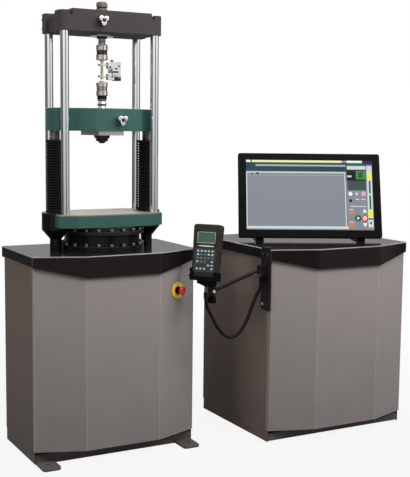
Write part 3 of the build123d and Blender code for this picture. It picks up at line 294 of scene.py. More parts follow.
# Each card runs from one bearing to another, in degrees, and gives off so much light.
CARDS = {
    "card_left": (105, 190, 0.20),
    "card_left_gap": (190, 204, 0.03),
    "card_front_left": (204, 264, 0.95),
    "card_middle": (264, 284, 0.10),
    "card_front_right": (284, 346, 0.90),
    "card_right": (346, 382, 0.03),
    "card_back": (22, 105, 0.70),
}
for name, (first, last, light) in CARDS.items():
    card_finish = Finish(name, Base_Color=grey(0.0), Specular_IOR_Level=0.0, Emission_Strength=1.0)
    lit_head = card_finish.band(card_finish.height(), *CARD_FADE)
    shade = card_finish.mix(lit_head, grey(light * CARD_FOOT_LIGHT), grey(light))
    card_finish.feed(card_finish.shader.inputs["Emission Color"], shade)
    steps = round((last - first) / CARD_STEP)
    bearings = [math.radians(first + (last - first) * i / steps) for i in range(steps + 1)]
    feet = [(CARD_REACH * math.cos(b), CARD_REACH * math.sin(b), 0.0) for b in bearings]
    heads = [(x, y, CARD_HEIGHT) for x, y, z in feet]
    count = len(bearings)
    card_mesh = bpy.data.meshes.new(name)
    card_mesh.from_pydata(feet + heads, [], [(i, i + 1, i + 1 + count, i + count) for i in range(count - 1)])
    card_mesh.materials.append(card_finish.material)
    card = add(name, card_mesh)
    card.visible_camera = False
    card.visible_diffuse = False
    card.visible_shadow = False
    card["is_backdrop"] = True

# Cabinet panels: folded sheet steel with a fine-grained powder coat, warm grey on the bowed fronts. The flat
# sides and backs are painted darker and browner as painted shade, the console's a little less so as painted
# light. The coat is paler along its edges from wear, with a painted highlight along the folds of the fronts,
# and painted shade darkens it towards the floor, in patches.
FLOOR_SHADE_TOP = 0.70
PEEL_DEPTH = 0.0002


def dim(tint, share):
    """A colour with part of its light."""
    return (*(c * share for c in tint[:3]), 1.0)


def paint(
    name,
    tint,
    wear_and_highlight_tint,
    gloss,
    grain=0.25,
    cloud=0.10,
    edge=0.0015,
    shine=0.4,
    edge_wear_and_highlight=0.55,
    folds=(),
    floor_shade_share=0.20,
):
    """Sprayed coat: faint clouds, orange-peel grain, edges paler from wear and as painted highlight, and
    painted shade darkening it towards the floor.
    """
    finish = Finish(name, Specular_IOR_Level=shine)
    clouds = finish.noise(3.0, 4.0) * cloud + finish.noise(0.9, 2.0) * cloud
    coat = finish.mix(clouds + (0.5 - cloud), dim(tint, 0.86), tint)
    speckle = finish.noise(1400.0, 1.0)
    # Painted shade: the coat darkens towards the floor, in patches, more strongly on the sides and backs.
    floor_shade_mask = finish.band(finish.height(), FLOOR_SHADE_TOP, 0.0) * (floor_shade_share + 0.5 * finish.noise(5.0, 5.0))
    coat = finish.mix(floor_shade_mask, coat, dim(tint, 0.4))
    # Pale edges: wear, and on the folds of the fronts and the edges of the covers a painted highlight.
    pale_edges = finish.edge(edge, *folds) * finish.noise(14.0, 4.0) * edge_wear_and_highlight
    coat = finish.mix(pale_edges, coat, wear_and_highlight_tint)
    finish.surface(coat, gloss + 0.10 * speckle + 0.06 * clouds, speckle, PEEL_DEPTH, grain, edge)
    return finish


def dress(finish, *names):
    """Gives the named solids a finish."""
    for name in names:
        nodes[name].data.materials.clear()
        nodes[name].data.materials.append(finish.material)


# Painted highlight: limits low enough to catch the shallow folds of the fronts, which are painted pale along
# them.
FOLD_HIGHLIGHT_LIMITS = (0.9998, 0.990)
front_coat = paint(
    "front_coat",
    ink(144, 137, 134),
    ink(190, 184, 179),
    0.42,
    edge=0.004,
    shine=0.1,
    edge_wear_and_highlight=1.0,
    folds=FOLD_HIGHLIGHT_LIMITS,
)
# Painted shade: the sides and backs take the front paint made darker and browner, the console's less dark as
# painted light.
shaded_sides_coat = paint("shaded_sides_coat", ink(110, 98, 91), ink(142, 132, 125), 0.45, shine=0.03, floor_shade_share=0.45)
console_lit_coat = paint("console_lit_coat", ink(136, 122, 114), ink(160, 150, 142), 0.45, shine=0.03, floor_shade_share=0.60)
dress(front_coat, "frame_front_panel", "console_front_panel")
dress(shaded_sides_coat, "frame_side_left", "frame_side_right", "frame_rear_panel")
dress(console_lit_coat, "console_side_left", "console_side_right", "console_rear_panel")

# Panel screws and louvres: black pan-head screws along both edges of the two backs, and between them
# louvres pressed out of the sheet so that the pump and the drive can breathe.
THREAD_SIDES = 36
RIDGE = ((0, 0.0), (1, 0.3), (1, 0.5), (0, 0.8), (0, 1.0))


class Workpiece:
    """Gathers turned, folded and moulded bits into one mesh."""

    def __init__(self):
        self.bits = bmesh.new()

    def faces(self, corners, loops, tint=0):
        """Flat faces between the given corners."""
        made = [self.bits.verts.new(c) for c in corners]
        for loop in loops:
            self.bits.faces.new([made[i] for i in loop]).material_index = tint

    def turn(self, profile, place, sides=24, tint=0):
        """Spins a profile of (radius, height) about the place's own upright axis."""
        rings = []
        for radius, height in profile:
            if radius == 0.0:
                rings.append([self.bits.verts.new(place @ Vector((0, 0, height)))])
                continue
            ring = []
            for step in range(sides):
                turn = 2 * math.pi * step / sides
                spoke = Vector((radius * math.cos(turn), radius * math.sin(turn), height))
                ring.append(self.bits.verts.new(place @ spoke))
            rings.append(ring)
        for low, high in zip(rings, rings[1:]):
            for step in range(sides):
                after = (step + 1) % sides
                loop = [low[step % len(low)], low[after % len(low)]]
                loop += [high[after % len(high)], high[step % len(high)]]
                loop = list(dict.fromkeys(loop))
                if len(loop) > 2:
                    self.bits.faces.new(loop).material_index = tint

    def block(self, size, place, rounding, tint=0):
        """A block centred on the place, its edges rounded."""
        shape = place @ Matrix.Diagonal((*size, 1.0))
        made = bmesh.ops.create_cube(self.bits, size=1.0, matrix=shape)["verts"]
        edges = list({e for v in made for e in v.link_edges})
        for face in {f for v in made for f in v.link_faces}:
            face.material_index = tint
        bevel = bmesh.ops.bevel(
            self.bits, geom=edges, offset=rounding, segments=2, affect="EDGES", profile=0.5
        )
        for face in bevel["faces"]:
            face.material_index = tint

    def thread(self, root, crest, pitch, low, high, place):
        """A screw thread: one trapezoid ridge wound from the low height to the high one."""
        steps = int((high - low) / pitch * THREAD_SIDES) - THREAD_SIDES
        rows = []
        for step in range(steps + 1):
            turn = 2 * math.pi * step / THREAD_SIDES
            climb = low + pitch * step / THREAD_SIDES
            row = []
            for raised, share in RIDGE:
                radius = crest if raised else root
                spoke = Vector((radius * math.cos(turn), radius * math.sin(turn), climb + share * pitch))
                row.append(self.bits.verts.new(place @ spoke))
            rows.append(row)
        for row, following in zip(rows, rows[1:]):
            for column in range(len(RIDGE) - 1):
                self.bits.faces.new((row[column], following[column], following[column + 1], row[column + 1]))

    def done(self, name, body, *finishes, sharp=35.0):
        """Makes the mesh an object that rides on a body."""
        mesh = bpy.data.meshes.new(name)
        bmesh.ops.recalc_face_normals(self.bits, faces=self.bits.faces)
        self.bits.to_mesh(mesh)
        self.bits.free()
        for finish in finishes:
            mesh.materials.append(finish.material)
        mesh.shade_smooth()
        mesh.set_sharp_from_angle(angle=math.radians(sharp))
        made = add(name, mesh)
        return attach(made, body) if body else made


def facing(spot, outward):
    """A place whose own upright axis points outward, level with the floor."""
    out = Vector(outward).normalized()
    side = Vector((0, 0, 1)).cross(out).normalized()
    return axes(side, out.cross(side), out, Vector(spot))


FINE_GRAIN = 0.0001


def moulded(name, dark, pale, gloss, scale, detail=2.0, grain=0.0, fineness=900.0, soft=0.0, **constants):
    """Smooth material in two close tints that run into each other, with a fine grain where asked."""
    finish = Finish(name, **constants)
    tint = finish.mix(finish.noise(scale, detail), dark, pale)
    relief = finish.noise(fineness) if grain else None
    finish.surface(tint, gloss, relief, FINE_GRAIN, grain, soft)
    return finish


BACKWARD = (0, 1, 0)
SCREW_SIDES = 16
PAN_HEAD = [(0.0, 0.0026), (0.0016, 0.0026), (0.0022, 0.0024), (0.0045, 0.0016)]
PAN_HEAD += [(0.0055, 0.0004), (0.0055, -0.0002), (0.0, -0.0002)]
SCREW_INSET = 0.035
TOP_SCREW_DROP = 0.085
LOUVRE_HALF = 0.055
LOUVRE_LIP_HALF = 0.0517
LOUVRE_RISE = 0.006
LOUVRE_BROW = 0.0012
LOUVRE_DEPTH = 0.006
LOUVRE_BROW_DEPTH = 0.0048
LOUVRE_PITCH = 0.026
LOUVRE_FOOT = 0.30
LOUVRE_ROWS = 9
LOUVRE_COLUMNS = (-0.16, 0.16)
HOOD_EDGES = (
    (LOUVRE_HALF, 0, LOUVRE_RISE),
    (LOUVRE_LIP_HALF, LOUVRE_DEPTH, -LOUVRE_RISE),
    (LOUVRE_LIP_HALF, LOUVRE_BROW_DEPTH, LOUVRE_BROW),
    (LOUVRE_HALF, 0, -LOUVRE_RISE),
)
HOOD = [(way * half, deep, rise) for half, deep, rise in HOOD_EDGES for way in (-1, 1)]
HOOD_FACES = [(0, 1, 5, 4), (4, 5, 3, 2), (0, 4, 2, 6), (1, 7, 3, 5), (2, 3, 7, 6), (0, 6, 7, 1)]
screw_black = moulded("screw_black", ink(30, 29, 29), ink(58, 56, 55), 0.35, 300.0, Metallic=0.8)
panel_screws = Workpiece()
louvres = Workpiece()
for name in ("frame_rear_panel", "console_rear_panel"):
    low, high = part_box(name)
    for across in (low.x + SCREW_INSET, high.x - SCREW_INSET):
        for height in (low.z + SCREW_INSET, (low.z + high.z) / 2, high.z - TOP_SCREW_DROP):
            panel_screws.turn(PAN_HEAD, facing((across, high.y, height), BACKWARD), SCREW_SIDES)
    middle = (low.x + high.x) / 2
    for column in LOUVRE_COLUMNS:
        for row in range(LOUVRE_ROWS):
            place = Matrix.Translation((middle + column, high.y, LOUVRE_FOOT + row * LOUVRE_PITCH))
            louvres.faces([place @ Vector(point) for point in HOOD], HOOD_FACES)
panel_screws.done("panel_screws", "base", screw_black)
louvres.done("louvres", "base", shaded_sides_coat, sharp=60)

# Floor frames: welded steel sections under both cabinets, painted grey-brown, with the four anchor
# tabs of the load frame cut from plate. The hidden drive below the bed is plain steel with bronze nuts.
STEEL_EDGE = 0.0008


def steel(name, tint, shade, gloss, scale, stretch, marks=0.25, metal=1.0):
    """Bare metal with tool marks that run along one way."""
    finish = Finish(name, Metallic=metal)
    lines = finish.noise(scale, 3.0, stretch)
    smear = finish.noise(6.0, 3.0)
    colour = finish.mix(lines * 0.6 + smear * 0.4, shade, tint)
    finish.surface(colour, gloss + 0.14 * lines + 0.08 * smear, lines, FINE_GRAIN, marks, STEEL_EDGE)
    return finish


base_coat = paint("base_coat", ink(98, 90, 87), ink(140, 132, 126), 0.5, grain=0.4, cloud=0.16, shine=0.15)
drive_steel = steel("drive_steel", ink(120, 118, 115), ink(80, 79, 78), 0.35, 160.0, (1, 1, 6))
bronze = steel("bronze", ink(186, 150, 88), ink(140, 106, 58), 0.3, 160.0, (1, 1, 6))
dress(base_coat, "base_frame", "console_frame", "drive_motor", "power_pack")
dress(drive_steel, "drive_shaft", "cylinder_barrel")
dress(bronze, "drive_nut_left", "drive_nut_right")

# Covers: pressed steel lids in glossy near-black enamel. Their flat tops mirror the pale room at a low
# angle, the front lip is deepest in the middle of the bow, and a patchy pale line round the upper rim is a
# painted highlight with some wear.
RIM_FOOT = (0.9045, 0.9065)
RIM_HEAD = (0.9099, 0.9096)
bare_and_lit_edge = ink(196, 188, 182)
cover_coat = paint(
    "cover_coat", ink(30, 25, 25), bare_and_lit_edge, 0.05, grain=0.03, edge=0.004, shine=0.15, edge_wear_and_highlight=1.0
)
# Painted highlight, partly wear: a patchy pale line round the upper rim of the covers.
rim = cover_coat.band(cover_coat.height(), *RIM_FOOT) * cover_coat.band(cover_coat.height(), *RIM_HEAD)
cover_coat.overlay(rim * (0.25 + 0.5 * cover_coat.noise(7.0, 3.0)), bare_and_lit_edge)
dress(cover_coat, "frame_cover", "console_cover")

# Hydraulic cylinder: a black enamelled head bolted through the cover by a ring of cap screws, the
# polished ram inside it, and a second ring of screws on the flange below the table.
gloss_black = paint("gloss_black", ink(20, 18, 18), ink(84, 80, 78), 0.16, grain=0.08, cloud=0.2, shine=0.22)
dress(gloss_black, "cylinder_head", "guide_towers")
POLISH_DEPTH = 0.00005
chrome = Finish("chrome", Metallic=1.0)
chrome_haze = chrome.noise(5.0, 4.0)
chrome.surface(
    chrome.mix(chrome_haze, (0.80, 0.80, 0.81, 1), (0.90, 0.90, 0.91, 1)),
    0.06 + 0.07 * chrome_haze,
    chrome.noise(60.0, 3.0, (1, 1, 0.03)),
    POLISH_DEPTH,
    0.15,
)
dress(chrome, "ram")
CAP_HEAD = [(0.0, 0.005), (0.0042, 0.005), (0.0046, 0.0118), (0.0078, 0.012)]
CAP_HEAD += [(0.0087, 0.0112), (0.009, 0.0102), (0.009, 0.0), (0.0, 0.0)]
CAP_SIDES = 18
BOLT_COUNT = 20
BOLT_CIRCLE = 0.180
HEAD_LEDGE = 0.934
PLATEN_LEDGE = 1.000
SCREW_X = 0.221
SLOT_CLEAR = 0.078
bolt_black = steel("bolt_black", ink(132, 128, 124), ink(62, 60, 58), 0.20, 900.0, (1, 1, 1))
head_bolts = Workpiece()
platen_bolts = Workpiece()
for step in range(BOLT_COUNT):
    turn = 2 * math.pi * (step + 0.5) / BOLT_COUNT
    x = BOLT_CIRCLE * math.cos(turn)
    y = BOLT_CIRCLE * math.sin(turn)
    head_bolts.turn(CAP_HEAD, Matrix.Translation((x, y, HEAD_LEDGE)), CAP_SIDES)
    if math.hypot(abs(x) - SCREW_X, y) > SLOT_CLEAR:
        platen_bolts.turn(CAP_HEAD, Matrix.Translation((x, y, PLATEN_LEDGE)), CAP_SIDES)
head_bolts.done("head_bolts", "base", bolt_black)
platen_bolts.done("platen_bolts", "ram_frame", bolt_black)

# Positioning screws: a black pleated rubber bellows stands on each guide tower and closes round the screw
# near the crosshead; on the real machine it folds up as the crosshead comes down, here it is one fixed mesh.
# A little thread shows above it.
RUBBER_GRAIN = 0.0002
rubber = Finish("bellows_rubber", Specular_IOR_Level=0.12)
rubber_dust = rubber.noise(22.0, 5.0)
rubber_tint = rubber.mix(rubber_dust * 0.5, ink(14, 13, 13), ink(34, 32, 31))
rubber.surface(rubber_tint, 0.65 + 0.2 * rubber_dust, rubber.noise(500.0), RUBBER_GRAIN, 0.25)
BELLOWS_LOW = 1.080
BELLOWS_HIGH = 1.398
CUFF = 0.009
CUFF_ROUND = 0.0005
FOLDS = 26
FOLD_OUT = 0.042
FOLD_IN = 0.0345
LOWER_MOUTH = 0.0315
UPPER_MOUTH = 0.0205
PLEAT = ((0.12, 0.93), (0.3, 0.35), (0.44, 0.04), (0.56, 0.04), (0.7, 0.35), (0.88, 0.93), (1.0, 1.0))
BELLOWS_SIDES = 40
THREAD_ROOT = 0.0201
THREAD_CREST = 0.0216
THREAD_PITCH = 0.006
THREAD_HIDDEN = 0.004
THREAD_HIGH = 1.4379
pleats = [(LOWER_MOUTH, BELLOWS_LOW), (FOLD_OUT - CUFF_ROUND, BELLOWS_LOW)]
pleats += [(FOLD_OUT, BELLOWS_LOW + CUFF_ROUND), (FOLD_OUT, BELLOWS_LOW + CUFF)]
fold_height = (BELLOWS_HIGH - BELLOWS_LOW - 2 * CUFF) / FOLDS
for fold in range(FOLDS):
    foot = BELLOWS_LOW + CUFF + fold * fold_height
    for share, reach in PLEAT:
        pleats.append((FOLD_IN + (FOLD_OUT - FOLD_IN) * reach, foot + share * fold_height))
pleats += [(FOLD_OUT, BELLOWS_HIGH - CUFF_ROUND), (FOLD_OUT - CUFF_ROUND, BELLOWS_HIGH)]
pleats.append((UPPER_MOUTH, BELLOWS_HIGH))
screw_steel = steel("screw_steel", ink(150, 148, 146), ink(70, 68, 68), 0.25, 120.0, (1, 1, 8))
for side, word in ((-1, "left"), (1, "right")):
    axis = Matrix.Translation((side * SCREW_X, 0, 0))
    cover = Workpiece()
    cover.turn(pleats, axis, BELLOWS_SIDES)
    bellows = cover.done("bellows_cover_" + word, None, rubber, sharp=50)
    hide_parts("bellows_" + word)
    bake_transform(bellows)
    ridge = Workpiece()
    thread_low = BELLOWS_HIGH - THREAD_HIDDEN
    ridge.thread(THREAD_ROOT, THREAD_CREST, THREAD_PITCH, thread_low, THREAD_HIGH, axis)
    ridge.done("screw_thread_" + word, "crosshead", screw_steel)
dress(screw_steel, "screw_left", "screw_right")

# Table: a green painted casting with a bright ground plate let into its top, carried on the ram, and the
# four chromed columns that hang the top crosshead from it. The flange below the casting is black.
UNDERSIDE = 1.0185
green_coat = paint(
    "green_coat", ink(50, 87, 82), ink(104, 138, 132), 0.38, grain=0.3, cloud=0.12, edge=0.002, shine=0.22
)
green_coat.overlay(green_coat.height() < UNDERSIDE, ink(22, 20, 20))
dress(green_coat, "table")
ground = steel("ground_steel", ink(134, 128, 112), ink(106, 100, 87), 0.46, 220.0, (1, 0.05, 1), 0.2, 0.3)
dress(ground, "table_plate")
dress(chrome, "column_front_left", "column_front_right", "column_back_left", "column_back_right")

# Top crosshead: a dark painted block whose split ears clamp the columns. Two socket-head pinch screws on
# each side of its rear face draw the splits shut.
top_coat = paint(
    "top_coat", ink(70, 64, 66), ink(120, 114, 112), 0.60, grain=0.3, cloud=0.12, edge=0.002, shine=0.04
)
dress(top_coat, "top_crosshead")
PINCH_X = 0.229
PINCH_FACE = 0.1268
PINCH_HEIGHTS = (1.885, 1.925)
PINCH_WIDTH = 0.62
PINCH_TALL = 0.4
PINCH_HEAD = [(radius * PINCH_WIDTH, height * PINCH_TALL) for radius, height in CAP_HEAD]
pinch = Workpiece()
for side in (-1, 1):
    for height in PINCH_HEIGHTS:
        pinch.turn(PINCH_HEAD, facing((side * PINCH_X, PINCH_FACE, height), BACKWARD), SCREW_SIDES)
pinch.done("pinch_screws", "ram_frame", screw_black)

# Clamp knobs: three polished lobes round a dark centre cap, one knob on the front of each crosshead.
# Each turns by hand on its own screw and clamps the rod behind it.
knob_cap = moulded("knob_cap", ink(14, 14, 14), ink(30, 30, 30), 0.3, 200.0)
FORWARD = (0, -1, 0)
KNOB_CAP = [(0.0, 0.0015), (0.0055, 0.0013), (0.0085, 0.0007), (0.0095, 0.0), (0.0, 0.0)]
for word, body in (("upper", "knob_upper"), ("lower", "knob_lower")):
    low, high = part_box(word + "_knob")
    joint = next(j for j in frame["joints"] if j["name"] == word + "_knob_turn")
    cap = Workpiece()
    cap.turn(KNOB_CAP, facing((joint["pos_m"][0], low.y, joint["pos_m"][2]), FORWARD))
    cap.done(word + "_knob_cap", body, knob_cap)
dress(chrome, "upper_knob", "lower_knob")

# Load train: threaded rods, hexagon lock nuts, flange and round holders of bright turned steel, the
# holders painted dark in their waist groove as painted shade, and a round test bar of warmer metal between
# them.
ROUND_MARKS = (0.2, 0.2, 5)
turned_steel = steel("turned_steel", ink(214, 211, 206), ink(150, 146, 141), 0.18, 240.0, ROUND_MARKS)
dress(turned_steel, "upper_rod", "upper_flange", "retainer_plate")
black_steel = steel("black_steel", ink(46, 43, 42), ink(24, 22, 22), 0.32, 200.0, (1, 1, 4), 0.2, 0.7)
dress(black_steel, "lower_rod")
LOCK_RING_FOOT = 1.580
coupling_steel = steel("coupling_steel", ink(214, 211, 206), ink(150, 146, 141), 0.18, 240.0, ROUND_MARKS)
coupling_steel.overlay(coupling_steel.height() > LOCK_RING_FOOT, ink(34, 31, 30))
dress(coupling_steel, "lower_nut")
UPPER_WAIST = (1.7735, 1.7945)
LOWER_WAIST = (1.6135, 1.6345)
holder_steel = steel("holder_steel", ink(218, 214, 208), ink(160, 155, 148), 0.16, 240.0, ROUND_MARKS)
rise = holder_steel.height()
# Painted shade: the waist grooves are painted dark, the lower one at half strength.
upper_waist = (rise > UPPER_WAIST[0]) * (rise < UPPER_WAIST[1])
lower_waist = (rise > LOWER_WAIST[0]) * (rise < LOWER_WAIST[1])
holder_steel.overlay(upper_waist + lower_waist * 0.5, ink(70, 60, 58))
dress(holder_steel, "upper_holder", "lower_holder")
bar_metal = steel("bar_metal", ink(196, 184, 152), ink(140, 128, 98), 0.22, 240.0, ROUND_MARKS)
dress(bar_metal, "specimen")
CENTRE = Matrix.Identity(4)
# Each thread has its root, crest, pitch, foot and head.
ROD_THREADS = ((0.0141, 0.0192, 0.0086, 1.8185, 1.8525), (0.0151, 0.0166, 0.004, 2.0005, 2.0068))
train = Workpiece()
for thread_sizes in ROD_THREADS:
    train.thread(*thread_sizes, CENTRE)
train.done("upper_thread", "ram_frame", turned_steel)
NUT_BORE = 0.0166
NUT_FACE = 0.0225
NUT_CORNER = 0.0268
NUT_FEET = (1.954, 1.978)
HEX_SIDES = 6
NUT = [(NUT_BORE, 0.0), (NUT_FACE, 0.0), (NUT_CORNER, 0.0035)]
NUT += [(NUT_CORNER, 0.0205), (NUT_FACE, 0.0238), (NUT_BORE, 0.0238)]
nuts = Workpiece()
for foot in NUT_FEET:
    nuts.turn(NUT, Matrix.Translation((0, 0, foot)), HEX_SIDES)
nut_steel = steel("nut_steel", ink(104, 100, 94), ink(66, 63, 60), 0.34, 240.0, (1, 1, 4), 0.2)
top_nuts = nuts.done("top_nuts", "ram_frame", nut_steel)
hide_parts("upper_nut")
HUB = [(0.0146, 1.8445), (0.0215, 1.8445), (0.0235, 1.8465), (0.0235, 1.8518), (0.0146, 1.8518)]
HUB_SIDES = 40
hub = Workpiece()
hub.turn(HUB, CENTRE, HUB_SIDES)
hub.done("flange_hub", "ram_frame", black_steel)

# Extensometer: a bright body with a round drum beside the test bar, held to it by knife-edge arms. Dark
# slides lie on the drum, small caps on the front, pads beyond the bar and an adjusting knob on top.
clip_metal = steel("clip_metal", ink(206, 206, 204), ink(160, 160, 158), 0.26, 300.0, (5, 1, 1))
dress(clip_metal, "extensometer")
DRUM_FACE = -0.017
BODY_FACE = -0.013
TOP_KNOB = [(0.0, 0.0085), (0.0055, 0.0085), (0.007, 0.007)]
TOP_KNOB += [(0.007, 0.003), (0.0045, 0.0022), (0.0045, -0.0005)]
TOP_KNOB_SPOT = (0.048, 0, 1.745)
SMALL_CAP = [(0.0, 0.0022), (0.0030, 0.0022), (0.0042, 0.0012), (0.0042, -0.0004), (0.0, -0.0004)]
LARGE_CAP = [(radius * 1.3, height * 2) for radius, height in SMALL_CAP]
LARGE_CAP_SPOT = (0.086, 0, 1.6875)
# Each dark block has its size, its middle and the rounding of its edges.
CLIP_BLOCKS = [
    ((0.030, 0.003, 0.0075), (0.057, DRUM_FACE, 1.701), 0.0008),
    ((0.012, 0.003, 0.006), (0.062, DRUM_FACE, 1.7155), 0.0008),
    ((0.034, 0.0275, 0.019), (0.0705, 0, 1.6715), 0.002),
    ((0.004, 0.018, 0.008), (-0.0145, 0, 1.680), 0.001),
    ((0.004, 0.018, 0.008), (-0.0145, 0, 1.730), 0.001),
]
CAP_SPOTS = ((0.0765, 1.7265), (0.0345, 1.7215), (0.0445, 1.6795))
fittings = Workpiece()
fittings.turn(TOP_KNOB, Matrix.Translation(TOP_KNOB_SPOT), SCREW_SIDES)
for size, middle, rounding in CLIP_BLOCKS:
    fittings.block(size, Matrix.Translation(middle), rounding)
for across, height in CAP_SPOTS:
    fittings.turn(SMALL_CAP, facing((across, BODY_FACE, height), FORWARD), SCREW_SIDES)
fittings.turn(LARGE_CAP, facing(LARGE_CAP_SPOT, (1, 0, 0)), SCREW_SIDES)
fittings.done("extensometer_fittings", "ram_frame", knob_cap)

# Adjustable crosshead: the green casting that the screws raise and lower, with a bright retainer plate
# and the blackened compression seat under it.
dress(green_coat, "crosshead")

# Emergency stop: a yellow plastic plate on the right facet, a dark collar, and a red mushroom button
# that presses in and twists to release.
SOFT_EDGE = 0.0006
stop_yellow = moulded(
    "stop_yellow",
    ink(232, 194, 36),
    ink(250, 216, 54),
    0.3,
    30.0,
    4.0,
    grain=0.2,
    soft=SOFT_EDGE,
    Specular_IOR_Level=0.5,
)
stop_red = moulded(
    "stop_red",
    ink(190, 10, 16),
    ink(216, 18, 24),
    0.22,
    60.0,
    3.0,
    grain=0.1,
    soft=SOFT_EDGE,
    Coat_Weight=0.3,
)


def handled(name, dark, pale, gloss, scale, wear, pale_edges, edge, shine):
    """Moulded plastic worn by hands: paler in clouds and along its edges."""
    finish = Finish(name, Specular_IOR_Level=shine)
    clouds = finish.noise(scale, 4.0)
    tint = finish.mix(clouds * wear + pale_edges * finish.edge(edge), dark, pale)
    finish.surface(tint, gloss + 0.14 * clouds, finish.noise(1600.0), FINE_GRAIN, 0.3, edge)
    return finish


black_plastic = handled(
    "black_plastic", ink(5, 5, 5), ink(17, 16, 15), 0.36, 12.0, wear=0.5, pale_edges=0.3, edge=0.0012, shine=0.04
)
dress(stop_yellow, "estop_plate")
dress(stop_red, "estop_head")
dress(black_plastic, "estop_body", "estop_stem")

# Pendant bracket and arm: a black plate hooked over the console cover and screwed to its side, a clevis
# with a hexagon-headed pin, and a slim tube arm that ends in a clamped boss.
arm_coat = paint(
    "arm_coat", ink(20, 18, 18), ink(80, 76, 74), 0.42, grain=0.25, cloud=0.2, edge=0.001, shine=0.10
)
dress(arm_coat, "pendant_bracket", "pendant_arm")
bolt_steel = steel("bolt_steel", ink(206, 203, 198), ink(150, 147, 142), 0.22, 900.0, (1, 1, 1))
BRACKET_FACE = 0.665
BUTTON_HEAD = [(0.0, 0.0014), (0.0024, 0.0014), (0.0026, 0.0032), (0.0046, 0.0026)]
BUTTON_HEAD += [(0.0062, 0.0008), (0.0064, 0.0), (0.0, 0.0)]
BRIGHT = 0
BLACK = 1
BRACKET_SCREWS = (
    (-0.316, 0.653, BRIGHT),
    (-0.354, 0.653, BLACK),
    (-0.316, 0.885, BLACK),
    (-0.354, 0.885, BLACK),
)
PIN_CAP = [(0.0, 0.0050), (0.0070, 0.0050), (0.0082, 0.0038), (0.0082, 0.0), (0.0, 0.0)]
PIN_TOP = (0.635, -0.336, 0.835)
ARM_END = Vector((0.387, -0.336, 0.735))
BOSS_RADIUS = 0.0185
bracket_screws = Workpiece()
for y, z, tint in BRACKET_SCREWS:
    bracket_screws.turn(BUTTON_HEAD, facing((BRACKET_FACE, y, z), (-1, 0, 0)), SCREW_SIDES, tint)
bracket_screws.turn(PIN_CAP, Matrix.Translation(PIN_TOP), HEX_SIDES, BLACK)
bracket_screws.done("bracket_screws", "base", bolt_steel, screw_black)
arm_bolt = Workpiece()
arm_bolt.turn(PIN_CAP, facing(ARM_END + Vector((0.0, -BOSS_RADIUS, 0.0)), FORWARD), HEX_SIDES)
arm_bolt.done("arm_bolt", "arm", bolt_steel)

# Handset: a black moulded case leaning in its cradle, with a green window in a pale frame and a raised
# rim, a bright bar under it, and a membrane keypad of white and teal keys.
case_plastic = handled(
    "case_plastic", ink(20, 19, 19), ink(58, 57, 55), 0.40, 14.0, wear=0.6, pale_edges=0.5, edge=0.003, shine=0.15
)
window_glass = moulded(
    "window_glass", ink(40, 72, 49), ink(54, 88, 62), 0.35, 420.0, Coat_Weight=0.25, Coat_Roughness=0.08
)
keypad_skin = moulded(
    "keypad_skin", ink(20, 28, 29), ink(30, 41, 42), 0.45, 40.0, 3.0, grain=0.3, fineness=1200.0
)
pale_frame = moulded("pale_frame", ink(122, 134, 118), ink(146, 156, 140), 0.4, 80.0)
key_white = moulded("key_white", ink(190, 198, 198), ink(216, 222, 220), 0.35, 90.0)
key_teal = moulded("key_teal", ink(66, 106, 108), ink(92, 134, 134), 0.4, 90.0)
dress(case_plastic, "handset")
dress(black_plastic, "handset_cradle", "pendant_knob")
dress(window_glass, "handset_window")
dress(keypad_skin, "handset_keypad")


def leaning(turn, lean):
    """The side, rise and outward ways of a face that is turned about the upright and leans back."""
    side = Vector((math.cos(turn), math.sin(turn), 0))
    front = Vector((math.sin(turn), -math.cos(turn), 0))
    out = front * math.cos(lean) + Vector((0, 0, math.sin(lean)))
    return side, out.cross(side), out


def rim_strips(work, width, height, line, low, high, place, tint):
    """A flat rectangular rim of four strips."""
    thick = high - low
    rounding = min(line, thick) * 0.25
    level_strip = (width, line, thick)
    upright_strip = (line, height, thick)
    strips = ((0, 1, level_strip), (0, -1, level_strip), (1, 0, upright_strip), (-1, 0, upright_strip))
    for sx, sy, size in strips:
        middle = Vector((sx * (width - line) / 2, sy * (height - line) / 2, (low + high) / 2))
        work.block(size, place @ Matrix.Translation(middle), rounding, tint)


HANDSET_TURN = math.radians(-52.0)
HANDSET_LEAN = math.radians(10.0)
HANDSET_RISE = 0.049
HANDSET_SHIFT = 0.035
FACE_OUT = 0.020
WINDOW_MIDDLE = 0.187
# Each rim has its width, height, line, underside and top.
CASE_RIM = (0.108, 0.072, 0.008, -0.001, 0.0022)
WINDOW_RIM = (0.088, 0.052, 0.004, -0.0005, 0.0008)
BAR_SIZE = (0.078, 0.006, 0.0012)
BAR_SPOT = (0, 0.148, 0.0003)
BAR_ROUND = 0.0004
KEY_SIZE = (0.0094, 0.0062, 0.0026)
KEY_ROUND = 0.0011
KEY_ACROSS = 0.0175
KEY_DOWN = 0.0158
KEY_TOP = 0.126
KEY_LIFT = 0.0008
KEY_ROWS = ("wwwww", "wttww", "ttttt", "wttdw", "dddww", "wwwdw")
CASE_TINT = 0
RIM_TINT = 1
BAR_TINT = 2
KEY_TINTS = {"w": 3, "t": 4, "d": CASE_TINT}
side, rise, out = leaning(HANDSET_TURN, HANDSET_LEAN)
handset_foot = ARM_END + Vector((0, 0, HANDSET_RISE)) - side * HANDSET_SHIFT + out * FACE_OUT
handset_place = axes(side, rise, out, handset_foot)
window_place = handset_place @ Matrix.Translation((0, WINDOW_MIDDLE, 0))
face = Workpiece()
rim_strips(face, *CASE_RIM, window_place, CASE_TINT)
rim_strips(face, *WINDOW_RIM, window_place, RIM_TINT)
face.block(BAR_SIZE, handset_place @ Matrix.Translation(BAR_SPOT), BAR_ROUND, BAR_TINT)
